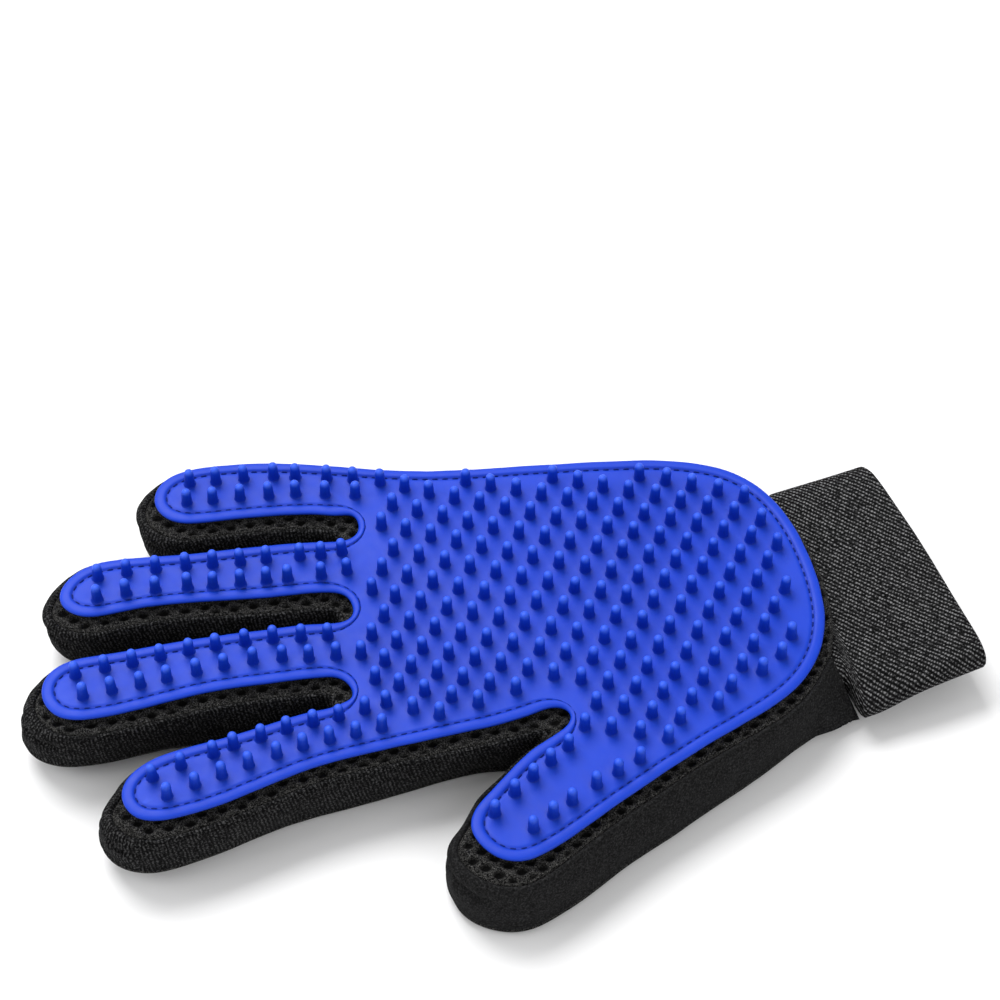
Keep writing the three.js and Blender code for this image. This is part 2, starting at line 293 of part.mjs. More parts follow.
// Offset of the edge of the finger's free space, at a fraction of its reach
function edgeOffset(finger, side, fraction) {
  const width = lerp(finger.side[0][side], finger.side[1][side], fraction);
  return side === LITTLE_SIDE ? width : -width;
}

// The slice of space over a finger between two distances from its knuckle fold
function fingerSlice(finger, from, to) {
  const corner = (distance, side) => fingerPoint(
    finger, distance, edgeOffset(finger, side, distance / finger.reach),
  );
  return prism([
    corner(from, THUMB_SIDE), corner(from, LITTLE_SIDE),
    corner(to, LITTLE_SIDE), corner(to, THUMB_SIDE),
  ], CUT_Z);
}

// The space on one side of a finger's middle line
function sideOfFinger(finger, side) {
  const from = -40, to = 90;
  const width = side === LITTLE_SIDE ? 40 : -40;
  return prism([
    fingerPoint(finger, from, 0), fingerPoint(finger, to, 0),
    fingerPoint(finger, to, width), fingerPoint(finger, from, width),
  ], CUT_Z);
}

// ---- whole layers ----------------------------------------------------------------------------
function makeBackLayer() {
  const beyondEnd = box({ x: [BACK_END_X, 130], y: [-90, 90], z: CUT_Z });
  return prism(BACK_OUTLINE, BACK_Z, lift).subtract(beyondEnd);
}

// The side strip: a wall along the back outline, open at the wrist
function makeStripLayer() {
  const overcut = 3;
  const outer = prism(BACK_OUTLINE, GUSSET_Z, lift);
  const innerZ = [GUSSET_Z[0] - overcut, GUSSET_Z[1] + overcut];
  const inner = prism(inset(BACK_OUTLINE, GUSSET_T), innerZ, lift);
  return outer.subtract(inner).subtract(prism(WRIST_MOUTH, CUT_Z));
}

// Moves a bristle's centre clear of the folds, so that none is cut in two
function clearOfFolds([x, y]) {
  const centre = new THREE.Vector2(x, y);
  for (const finger of Object.values(FINGERS)) {
    const { along, across } = fingerAxes(finger);
    for (const fold of [0, finger.mid]) {
      const fromKnuckle = centre.clone().sub(new THREE.Vector2(...finger.knuckle));
      const pastFold = fromKnuckle.dot(along) - fold;
      const offset = fromKnuckle.dot(across);
      const fraction = clamp(pastFold / finger.reach, 0, 1);
      const isOverFinger = offset > edgeOffset(finger, THUMB_SIDE, fraction)
        && offset < edgeOffset(finger, LITTLE_SIDE, fraction);
      if (isOverFinger && Math.abs(pastFold) < BRISTLE.foldClearance) {
        const target = pastFold < 0 ? -BRISTLE.foldClearance : BRISTLE.foldClearance;
        centre.addScaledVector(along, target - pastFold);
      }
    }
  }
  return centre;
}

function bristle(centre) {
  const { height, sunk, tipHeight, footRadius, neckRadius, tipRadius, sides } = BRISTLE;
  const profile = [
    [0, -sunk], [footRadius, -sunk], [neckRadius, height - tipHeight],
    [tipRadius, height], [0, height],
  ].map(([radius, z]) => new THREE.Vector2(radius, z));
  const geometry = new THREE.LatheGeometry(profile, sides);
  geometry.rotateX(Math.PI / 2);
  geometry.translate(centre.x, centre.y, PAD_Z[1]);
  return toSolid(geometry);
}

function makePadLayer() {
  return BRISTLE_CENTRES.map(clearOfFolds)
    .reduce((pad, centre) => pad.add(bristle(centre)), prism(PAD_OUTLINE, PAD_Z));
}

// ---- cuff ------------------------------------------------------------------------------------
// Outline of the tube's section in the (y, z) plane, moved inwards by margin
function cuffSection(margin, radius) {
  const y0 = CUFF.y0 + margin, y1 = CUFF.y1 - margin;
  const z0 = CUFF.z0 + margin, z1 = CUFF.z1 - margin;
  const path = new THREE.Path();
  path.moveTo(y0 + radius, z0);
  path.lineTo(y1 - radius, z0);
  path.absarc(y1 - radius, z0 + radius, radius, -Math.PI / 2, 0, false);
  path.absarc(y1 - radius, z1 - radius, radius, 0, Math.PI / 2, false);
  path.lineTo(y0 + radius, z1);
  path.absarc(y0 + radius, z1 - radius, radius, Math.PI / 2, Math.PI, false);
  path.absarc(y0 + radius, z0 + radius, radius, Math.PI, Math.PI * 1.5, false);
  return path.getPoints(CUFF.arcSegments);
}

// The section extruded over three stations at 0, 0.5 and 1, which then move to their x
function cuffBand() {
  const { x0, xSeam, xMouth, slant, y0, y1, z0, z1, wall, corner, mouth } = CUFF;
  const shape = new THREE.Shape(cuffSection(0, corner));
  shape.holes.push(new THREE.Path(cuffSection(wall, corner - wall)));
  const geometry = new THREE.ExtrudeGeometry(shape, { depth: 1, steps: 2, bevelEnabled: false });
  return toSolid(geometry, (vertex) => {
    const { x: y, y: z, z: station } = vertex;
    if (station < 0.25) {
      vertex.set(x0, y, z);
    } else if (station < 0.75) {
      vertex.set(xSeam, y, z);
    } else {
      const mouthY = mapLinear(y, y0, y1, mouth.y0, mouth.y1);
      const mouthZ = mapLinear(z, z0, z1, z0, mouth.z1);
      vertex.set(xMouth - slant * (mouthY - mouth.y0), mouthY, mouthZ);
    }
  });
}

// ---- materials -------------------------------------------------------------------------------
const SILICONE = { color: 0x2f52d8, roughness: 0.48 };
const SPACER_MESH = { color: 0x1d1d1f, roughness: 0.92 };
const KNIT = { color: 0x242426, roughness: 0.9 };
const ELASTIC = { color: 0x303034, roughness: 0.88 };
const HOOK_TAPE = { color: 0x18181a, roughness: 0.7 };
const LOOP_TAPE = { color: 0x222224, roughness: 0.97 };

// ---- assembly --------------------------------------------------------------------------------
function addPiece(parent, name, solid, finish) {
  const { vertProperties, triVerts } = solid.getMesh();
  const geometry = new THREE.BufferGeometry();
  geometry.setAttribute('position', new THREE.BufferAttribute(new Float32Array(vertProperties), 3));
  geometry.setIndex(new THREE.BufferAttribute(new Uint32Array(triVerts), 1));
  geometry.computeVertexNormals();
  const material = new THREE.MeshStandardMaterial({ ...finish, metalness: 0 });
  const mesh = new THREE.Mesh(geometry, material);
  mesh.name = name;
  parent.add(mesh);
}

const padLayer = makePadLayer();
const meshLayer = prism(PALM_PANEL_OUTLINE, MESH_Z);
const backLayer = makeBackLayer();
const stripLayer = makeStripLayer();

// One section's share of the pad and the two panels; trim cuts a layer down to the section
function addPanels(parent, section, trim) {
  addPiece(parent, `${section}_pad`, trim(padLayer), SILICONE);
  addPiece(parent, `${section}_mesh`, trim(meshLayer), SPACER_MESH);
  addPiece(parent, `${section}_back`, trim(backLayer), SPACER_MESH);
}

const halfGap = FOLD_GAP / 2;

function addPalmSection(palm) {
  const allFingers = Object.values(FINGERS)
    .map((finger) => fingerSlice(finger, -halfGap, finger.reach))
    .reduce((joined, slice) => joined.add(slice));
  addPanels(palm, 'palm', (layer) => layer.subtract(allFingers));

  const strip = stripLayer.subtract(allFingers);
  for (const [name, x, y] of PALM_GUSSETS) {
    let gusset = strip.intersect(box({ x, y, z: CUT_Z }));
    if (name === 'little_side_gusset') gusset = gusset.subtract(box(RING_LITTLE_CROTCH));
    addPiece(palm, name, gusset, KNIT);
  }
}

function addCuff(palm) {
  addPiece(palm, 'cuff_band', cuffBand(), ELASTIC);
  addPiece(palm, 'strap_anchor', box(ANCHOR), ELASTIC);
  addPiece(palm, 'loop_patch', box(LOOP), LOOP_TAPE);

  const strap = new THREE.Group();
  palm.add(strap);
  addPiece(strap, 'strap_tab', box(STRAP), ELASTIC);
  addPiece(strap, 'hook_patch', box(HOOK), HOOK_TAPE);
}

// A finger in a base and a tip that fold on each other
function addFinger(palm, name, finger) {
  const base = new THREE.Group();
  const tip = new THREE.Group();
  palm.add(base);
  base.add(tip);

  const baseSlice = fingerSlice(finger, halfGap, finger.mid - halfGap);
  const walls = stripLayer.intersect(baseSlice);
  const wallOn = (side) => walls.intersect(sideOfFinger(finger, side));
  addPanels(base, `${name}_base`, (layer) => layer.intersect(baseSlice));
  addPiece(base, `${name}_base_gusset_a`, wallOn(THUMB_SIDE), KNIT);
  addPiece(base, `${name}_base_gusset_b`, wallOn(LITTLE_SIDE), KNIT);

  const tipSlice = fingerSlice(finger, finger.mid + halfGap, finger.reach);
  addPanels(tip, `${name}_tip`, (layer) => layer.intersect(tipSlice));
  addPiece(tip, `${name}_tip_gusset`, stripLayer.intersect(tipSlice), KNIT);
}

const glove = new THREE.Group();
const palm = new THREE.Group();
glove.add(palm);
addPalmSection(palm);
addCuff(palm);
for (const [name, finger] of Object.entries(FINGERS)) addFinger(palm, name, finger);

export default glove;
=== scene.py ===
"""Pet grooming glove for the left hand, lying palm up on the table (z = 0).
Fingers point to -X, the wrist opens to +X, the thumb is on the -Y side and the little finger on +Y.
Lengths are millimetres until a mesh or a placed object is made, when they become metres."""
import math
from types import SimpleNamespace

import bpy
import numpy as np
from mathutils import Matrix, Vector, kdtree, noise
from mathutils.geometry import delaunay_2d_cdt

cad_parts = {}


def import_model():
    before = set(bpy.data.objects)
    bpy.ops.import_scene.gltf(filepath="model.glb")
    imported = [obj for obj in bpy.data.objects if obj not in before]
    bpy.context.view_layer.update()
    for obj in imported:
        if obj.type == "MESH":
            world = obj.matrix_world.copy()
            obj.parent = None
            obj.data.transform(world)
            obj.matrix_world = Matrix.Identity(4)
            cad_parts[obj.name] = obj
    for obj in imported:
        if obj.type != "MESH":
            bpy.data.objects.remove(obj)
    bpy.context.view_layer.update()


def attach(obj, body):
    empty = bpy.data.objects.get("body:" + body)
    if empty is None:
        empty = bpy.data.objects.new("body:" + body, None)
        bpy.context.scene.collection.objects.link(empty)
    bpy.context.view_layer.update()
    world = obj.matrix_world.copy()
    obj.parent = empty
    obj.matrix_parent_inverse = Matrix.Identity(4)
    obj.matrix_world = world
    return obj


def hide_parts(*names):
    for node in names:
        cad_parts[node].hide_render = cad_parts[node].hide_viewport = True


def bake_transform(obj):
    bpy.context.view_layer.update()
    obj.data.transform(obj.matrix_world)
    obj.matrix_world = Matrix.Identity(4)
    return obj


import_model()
RNG = np.random.default_rng(11)


# ------------------------------------------------------------------ patterns
def table(text):
    """Points from text: one "x,y" pair, in mm, per word."""
    return np.array([pair.split(",") for pair in text.split()], float)


# outline of the silicone pad, anticlockwise like the other outlines
PAD = table("""
5.1,-31.4 2.5,-32.6 0,-33.8 -2.3,-35.4 -4.6,-37 -6.8,-38.8 -9,-40.5 -11.2,-42.3
-13.4,-44 -15.5,-45.8 -17.3,-48 -18.4,-50.6 -18.4,-53.4 -17.5,-56 -16.1,-58.4 -14.2,-60.5
-11.8,-61.9 -9.1,-62.6 -6.3,-62.5 -3.6,-61.7 -0.9,-60.8 1.7,-59.7 4.2,-58.6 6.7,-57.3
9.2,-56.1 11.7,-54.8 14.2,-53.5 16.7,-52.2 19.3,-51 21.8,-49.8 24.3,-48.6 26.9,-47.4
29.4,-46.2 32,-45.1 34.6,-44 37.2,-42.9 39.7,-41.8 42.3,-40.7 44.9,-39.7 47.6,-38.7
50.2,-37.6 52.8,-36.6 55.4,-35.6 58,-34.5 60.5,-33.3 63,-32 65.4,-30.5 67.6,-28.8
69.6,-26.9 71.5,-24.8 73.2,-22.5 74.7,-20.2 75.9,-17.7 77,-15.1 77.9,-12.4 78.6,-9.7
79,-6.9 79.3,-4.1 79.6,-1.3 79.6,1.5 79.6,4.3 79.5,7.1 79.2,9.9 79,12.7
78.6,15.5 78,18.2 77.3,21 76.5,23.6 75.4,26.2 74.2,28.7 72.7,31.1 70.9,33.3
69,35.3 66.8,37.1 64.5,38.6 62,39.9 59.4,41.1 56.8,42.1 54.1,43 51.5,43.8
48.7,44.6 46,45.2 43.3,45.7 40.5,46.2 37.7,46.7 35,47.2 32.2,47.6 29.4,48
26.6,48.3 23.8,48.7 21.1,49.1 18.3,49.5 15.5,49.9 12.7,50.2 9.9,50.6 7.1,51
4.4,51.4 1.6,51.9 -1.2,52.4 -3.9,52.9 -6.7,53.3 -9.4,54 -12.2,54.6 -14.9,55.3
-17.6,56 -20.3,56.7 -23,57.6 -25.7,58.4 -28.3,59.3 -31,60.1 -33.7,60.9 -36.4,61.8
-39.1,62.6 -41.8,63.3 -44.5,64.1 -47.2,64.7 -50,65.3 -52.7,65.8 -55.5,66.1 -58.3,66.5
-61.1,66.7 -63.9,66.8 -66.7,66.6 -69.5,66.1 -72,65 -74.2,63.2 -75.6,60.8 -76.1,58.1
-75.5,55.3 -74,52.9 -71.9,51.2 -69.3,50.1 -66.5,49.6 -63.7,49.3 -60.9,49.1 -58.1,48.9
-55.3,48.7 -52.5,48.4 -49.7,48.1 -46.9,47.8 -44.2,47.4 -41.4,46.9 -38.6,46.4 -35.9,45.6
-33.3,44.7 -30.6,44.2 -28.2,43.7 -27.4,41 -27.9,38.2 -29.8,36.6 -32.6,36.3 -35.4,36.7
-38.1,37.2 -40.9,37.7 -43.7,38 -46.5,38.4 -49.3,38.6 -52.1,38.8 -54.9,39.1 -57.7,39.3
-60.5,39.6 -63.3,39.8 -66.1,40 -68.8,40.3 -71.6,40.6 -74.4,41 -77.2,41.4 -80,41.8
-82.8,42.1 -85.5,42.5 -88.4,42.5 -91.2,42.6 -93.9,42.1 -96.6,41.3 -99,39.9 -101.1,38
-102.6,35.6 -103,32.9 -102,30.3 -100,28.3 -97.6,27 -94.8,26.5 -92,26.4 -89.2,26.5
-86.4,26.6 -83.6,26.7 -80.8,26.6 -78,26.4 -75.2,26.2 -72.4,25.9 -69.6,25.6 -66.8,25.2
-64,24.8 -61.3,24.4 -58.5,24 -55.7,23.6 -52.9,23.2 -50.1,23 -47.3,22.7 -44.5,22.5
-41.7,22.2 -39,21.7 -36.3,21 -34.2,19.3 -33.5,16.5 -33.7,13.8 -35.6,12.1 -38.4,12
-41.2,12.4 -44,12.9 -46.8,13.3 -49.6,13.5 -52.4,13.7 -55.2,13.8 -58,14 -60.8,14.2
-63.6,14.4 -66.4,14.4 -69.2,14.5 -72,14.6 -74.8,14.6 -77.6,14.6 -80.4,14.6 -83.2,14.6
-86,14.6 -88.8,14.6 -91.6,14.7 -94.5,14.8 -97.3,14.9 -100.1,15 -102.8,14.7 -105.5,13.9
-107.9,12.4 -109.6,10.2 -110.5,7.5 -110.5,4.7 -109.6,2.1 -108,-0.2 -105.7,-1.7 -103,-2.6
-100.2,-2.9 -97.4,-3 -94.6,-3 -91.8,-2.8 -89,-2.6 -86.2,-2.4 -83.4,-2.1 -80.6,-1.9
-77.8,-1.7 -75,-1.5 -72.2,-1.4 -69.4,-1.4 -66.6,-1.4 -63.8,-1.5 -61,-1.6 -58.2,-1.8
-55.4,-1.9 -52.6,-2 -49.8,-2.2 -47,-2.4 -44.2,-2.8 -41.4,-3.3 -39.3,-5 -38.2,-7.6
-38.4,-10.3 -41.1,-11.1 -43.7,-11.9 -46.5,-12 -49.3,-12.1 -52.1,-12.4 -54.9,-12.8 -57.7,-13.3
-60.5,-13.7 -63.2,-14.1 -66,-14.5 -68.8,-14.8 -71.6,-15.1 -74.4,-15.3 -77.2,-15.5 -80,-15.8
-82.8,-16.2 -85.5,-16.7 -88.2,-17.6 -90.7,-18.8 -93,-20.4 -94.8,-22.6 -95.8,-25.2 -95.7,-28
-94.6,-30.6 -92.7,-32.6 -90.1,-33.7 -87.4,-34.2 -84.6,-34.2 -81.8,-34 -79,-33.7 -76.2,-33.3
-73.4,-32.8 -70.7,-32.2 -68,-31.5 -65.2,-30.8 -62.5,-30.2 -59.8,-29.5 -57,-28.9 -54.3,-28.3
-51.5,-27.8 -48.8,-27.4 -46,-27.1 -43.2,-26.8 -40.4,-26.6 -37.6,-26.4 -34.8,-26.3 -32,-26.1
-29.2,-26 -26.4,-26 -23.6,-25.9 -20.7,-25.8 -17.9,-25.8 -15.1,-25.7 -12.3,-25.6 -9.5,-25.6
-6.7,-25.4 -3.9,-25.1 -1.1,-24.7 1.6,-24.3 4.4,-23.6 7.1,-23.3 9.8,-24 11.2,-26.3
10,-28.7 7.6,-30.2
""")
# outline of the palm-side mesh panel
PALM = table("""
81.8,-9.8 82,-8.2 82.2,-6.6 82.4,-5 82.5,-3.4 82.6,-1.8 82.7,-0.2 82.7,1.4
82.7,3 82.6,4.6 82.5,6.2 82.4,7.8 82.3,9.4 82.1,11 81.9,12.6 81.7,14.1
81.4,15.7 81.1,17.3 80.7,18.8 80.3,20.4 79.8,21.9 79.3,23.4 78.7,24.9 78.1,26.4
77.4,27.8 76.7,29.3 75.8,30.6 74.9,31.9 73.9,33.2 72.9,34.4 71.8,35.6 70.6,36.7
69.4,37.7 68.1,38.7 66.8,39.5 65.4,40.4 64,41.1 62.6,41.8 61.1,42.5 59.6,43.1
58.1,43.6 56.6,44.2 55.1,44.7 53.6,45.2 52,45.6 50.5,46 48.9,46.4 47.4,46.8
45.8,47.1 44.2,47.4 42.7,47.8 41.1,48.1 39.5,48.3 37.9,48.6 36.4,48.8 34.8,49.1
33.2,49.3 31.6,49.5 30,49.7 28.4,49.9 26.9,50.1 25.3,50.4 23.7,50.6 22.1,50.8
20.5,51 18.9,51.2 17.3,51.4 15.7,51.6 14.2,51.8 12.6,52 11,52.3 9.4,52.5
7.8,52.7 6.2,52.9 4.7,53.2 3.1,53.4 1.5,53.6 -0.1,53.9 -1.7,54.2 -3.2,54.5
-4.8,54.8 -6.4,55.1 -7.9,55.4 -9.5,55.8 -11.1,56.1 -12.6,56.5 -14.2,56.9 -15.7,57.3
-17.3,57.7 -18.8,58.2 -20.3,58.6 -21.9,59.1 -23.4,59.6 -24.9,60.1 -26.4,60.6 -28,61
-29.5,61.5 -31,62 -32.5,62.5 -34.1,63 -35.6,63.5 -37.1,63.9 -38.7,64.4 -40.2,64.8
-41.7,65.3 -43.3,65.7 -44.8,66 -46.4,66.4 -48,66.7 -49.5,67.1 -51.1,67.4 -52.7,67.6
-54.3,67.8 -55.9,68.1 -57.4,68.2 -59,68.4 -60.6,68.5 -62.2,68.7 -63.8,68.8 -65.4,68.9
-67,69 -68.6,68.8 -70.1,68.4 -71.6,67.8 -73,67.2 -74.7,65.9 -76.4,64.6 -78,63.2
-79.3,61.5 -80.1,60.2 -80.6,58.7 -80.9,57.2 -80.8,55.6 -80.5,54 -79.9,52.5 -79.1,51.2
-78.1,49.9 -77,48.8 -75.7,47.8 -74.3,47 -72.8,46.3 -70.8,45.7 -69.2,45.5 -67.6,45.4
-66,45.3 -64.4,45.1 -62.8,45 -61.2,44.9 -59.6,44.8 -58,44.6 -56.4,44.5 -54.8,44.4
-53.2,44.3 -51.6,44.1 -50.1,44 -48.5,43.8 -46.9,43.7 -45.3,43.4 -43.7,43.2 -42.1,42.9
-40.6,42.6 -39,42.2 -37.5,41.8 -35.9,41.4 -34.4,40.9 -32.9,40.3 -32.5,38.6 -34.7,38.4
-36.3,38.7 -37.9,39 -39.5,39.3 -41,39.5 -42.6,39.7 -44.2,39.9 -45.8,40.1 -47.4,40.2
-49,40.4 -50.6,40.5 -52.2,40.6 -53.8,40.8 -55.4,40.9 -57,41 -58.6,41.1 -60.2,41.3
-61.8,41.4 -63.4,41.6 -64.9,41.7 -66.5,41.8 -68.1,42 -69.7,42.2 -71.3,42.4 -72.9,42.6
-74.5,42.8 -76.1,43 -77.7,43.2 -79.2,43.4 -80.8,43.6 -82.4,43.9 -84,44.1 -85.6,44.3
-87.2,44.5 -88.8,44.7 -90.4,44.8 -92,44.8 -93.6,44.7 -95.1,44.4 -96.7,44 -98.1,43.4
-99.5,42.6 -100.7,41.7 -101.9,40.6 -103.4,39.1 -104.7,37.5 -106,35.9 -107,33.9 -107.4,32.4
-107.4,30.8 -107,29.3 -106.4,27.9 -105.4,26.6 -104.3,25.4 -103,24.4 -101.7,23.6 -100.2,23
-98.7,22.5 -97.1,22.2 -95.5,22.1 -93.9,22.1 -92.3,22.2 -90.7,22.3 -89.1,22.3 -87.5,22.4
-85.9,22.5 -84.3,22.5 -82.7,22.5 -81.1,22.4 -79.5,22.3 -77.9,22.2 -76.3,22.1 -74.7,22
-73.1,21.8 -71.5,21.6 -70,21.4 -68.4,21.2 -66.8,20.9 -65.2,20.7 -63.6,20.5 -62,20.3
-60.4,20 -58.9,19.8 -57.3,19.6 -55.7,19.4 -54.1,19.1 -52.5,18.9 -50.9,18.8 -49.3,18.6
-47.7,18.5 -46.1,18.3 -44.5,18.2 -43,18.1 -41.4,17.9 -39.8,17.6 -38.3,17.1 -37,16.1
-36.9,14.5 -38.3,14.1 -39.9,14.2 -41.5,14.5 -43.1,14.7 -44.7,14.9 -46.3,15.1 -47.9,15.2
-49.5,15.3 -51.1,15.4 -52.7,15.6 -54.3,15.7 -55.8,15.8 -57.4,15.9 -59,16 -60.6,16
-62.2,16.1 -63.8,16.2 -65.4,16.2 -67,16.2 -68.6,16.2 -70.2,16.3 -71.8,16.3 -73.4,16.3
-75,16.3 -76.6,16.3 -78.2,16.3 -79.8,16.3 -81.4,16.3 -83,16.3 -84.6,16.3 -86.2,16.4
-87.8,16.4 -89.4,16.4 -91,16.5 -92.6,16.6 -94.2,16.7 -95.8,16.8 -97.4,16.9 -99,17
-100.6,17 -102.2,16.9 -103.8,16.7 -105.3,16.2 -106.7,15.6 -108,14.7 -109.2,13.8 -110.7,12.2
-112.2,10.6 -113.5,8.8 -114.2,7.4 -114.6,5.8 -114.7,4.3 -114.5,2.7 -114.1,1.1 -113.4,-0.3
-112.6,-1.7 -111.6,-3 -110.5,-4.1 -109.2,-5 -107.8,-5.8 -106.3,-6.3 -104.7,-6.8 -103.1,-7
-101.5,-7.2 -100,-7.3 -98.4,-7.4 -96.8,-7.3 -95.2,-7.3 -93.6,-7.1 -92,-7 -90.4,-6.9
-88.8,-6.8 -87.2,-6.6 -85.6,-6.5 -84,-6.4 -82.4,-6.2 -80.8,-6.1 -79.2,-6 -77.6,-5.8
-76,-5.7 -74.4,-5.6 -72.8,-5.6 -71.2,-5.5 -69.6,-5.5 -68,-5.5 -66.4,-5.6 -64.8,-5.6
-63.2,-5.7 -61.6,-5.8 -60,-5.8 -58.4,-5.9 -56.8,-6 -55.2,-6.1 -53.6,-6.2 -52,-6.3
-50.4,-6.4 -48.8,-6.5 -47.2,-6.6 -45.6,-6.7 -44.2,-7.1 -42.9,-7.9 -42.9,-9.7 -44.5,-10
-46.1,-10.1 -47.7,-10.2 -49.2,-10.3 -50.8,-10.4 -52.4,-10.6 -54,-10.8 -55.6,-11.1 -57.2,-11.3
-58.8,-11.6 -60.3,-11.8 -61.9,-12.1 -63.5,-12.4 -65.1,-12.6 -66.7,-12.8 -68.3,-13 -69.8,-13.2
-71.4,-13.3 -73,-13.5 -74.6,-13.6 -76.2,-13.7 -77.8,-13.8 -79.4,-13.9 -81,-14 -82.6,-14.2
-84.2,-14.4 -85.8,-14.7 -87.3,-15.2 -88.8,-15.8 -90.2,-16.4 -91.6,-17.2 -92.9,-18.1 -94,-19.1
-95.4,-20.7 -96.5,-22.2 -97.7,-23.6 -99.1,-25.1 -100,-26.4 -100.7,-27.9 -100.8,-29.4 -100.5,-31
-99.9,-32.5 -99.1,-33.9 -98.2,-35.2 -97,-36.3 -95.7,-37.2 -94.3,-37.9 -92.8,-38.5 -91.2,-38.8
-89.6,-39 -88,-39 -86.4,-38.9 -84.8,-38.8 -83.2,-38.6 -81.6,-38.4 -80,-38.2 -78.5,-38
-76.9,-37.7 -75.3,-37.4 -73.7,-37.1 -72.2,-36.8 -70.6,-36.4 -69.1,-36 -67.5,-35.7 -66,-35.3
-64.4,-34.9 -62.9,-34.5 -61.3,-34.1 -59.7,-33.7 -58.2,-33.4 -56.6,-33 -55.1,-32.7 -53.5,-32.4
-51.9,-32.1 -50.3,-31.8 -48.8,-31.6 -47.2,-31.4 -45.6,-31.2 -44,-31.1 -42.4,-30.9 -40.8,-30.8
-39.2,-30.6 -37.6,-30.5 -36,-30.5 -34.4,-30.4 -32.8,-30.3 -31.2,-30.3 -29.6,-30.2 -28,-30.2
-26.4,-30.1 -24.8,-30.1 -23.2,-30.1 -21.6,-30 -20,-30 -18.4,-30 -16.8,-29.9 -15.2,-29.9
-13.6,-29.9 -12,-29.8 -10.4,-29.8 -8.8,-29.7 -7.2,-29.7 -5.6,-29.6 -4,-29.3 -2.4,-29.1
-0.9,-28.9 0.7,-28.6 2.3,-28.3 3.9,-28.2 3.9,-29.7 2.4,-30.4 1,-31.1 -0.4,-31.8
-1.8,-32.6 -3.2,-33.5 -4.5,-34.4 -5.8,-35.3 -7.1,-36.3 -8.3,-37.3 -9.6,-38.2 -10.9,-39.1
-12.3,-40 -13.6,-40.9 -14.9,-41.9 -16,-43.1 -17,-44.5 -18,-46 -18.8,-47.3 -19.8,-48.6
-21.1,-49.9 -22.6,-51.4 -23.5,-52.6 -24.2,-54.1 -24.5,-55.6 -24.4,-57.2 -24.1,-58.8 -23.5,-60.3
-22.7,-61.7 -21.8,-63 -20.8,-64.2 -19.7,-65.4 -18.4,-66.4 -17.1,-67.2 -15.7,-68 -14.2,-68.5
-12.6,-68.9 -11,-69.1 -9.4,-69.1 -7.8,-68.9 -6.3,-68.5 -4.8,-68 -3.3,-67.4 -1.8,-66.7
-0.4,-66 1,-65.3 2.4,-64.5 3.8,-63.7 5.2,-63 6.6,-62.2 8,-61.4 9.4,-60.6
10.8,-59.9 12.3,-59.1 13.7,-58.3 15.1,-57.6 16.5,-56.9 17.9,-56.1 19.4,-55.4 20.8,-54.7
22.2,-54 23.7,-53.3 25.1,-52.7 26.6,-52 28,-51.3 29.5,-50.7 31,-50 32.4,-49.4
33.9,-48.7 35.4,-48.1 36.8,-47.4 38.3,-46.8 39.8,-46.2 41.3,-45.6 42.7,-45 44.2,-44.4
45.7,-43.8 47.2,-43.2 48.7,-42.6 50.2,-42 51.7,-41.4 53.2,-40.9 54.6,-40.3 56.1,-39.7
57.6,-39.1 59.1,-38.5 60.6,-37.9 62.1,-37.3 63.4,-36.5 64.8,-35.7 66.2,-34.8 67.5,-33.9
68.8,-32.9 70,-31.9 71.2,-30.8 72.3,-29.7 73.4,-28.5 74.4,-27.2 75.3,-26 76.2,-24.6
77.1,-23.3 77.8,-21.9 78.5,-20.4 79.2,-19 79.8,-17.5 80.3,-16 80.8,-14.4 81.2,-12.9
81.6,-11.3
""")
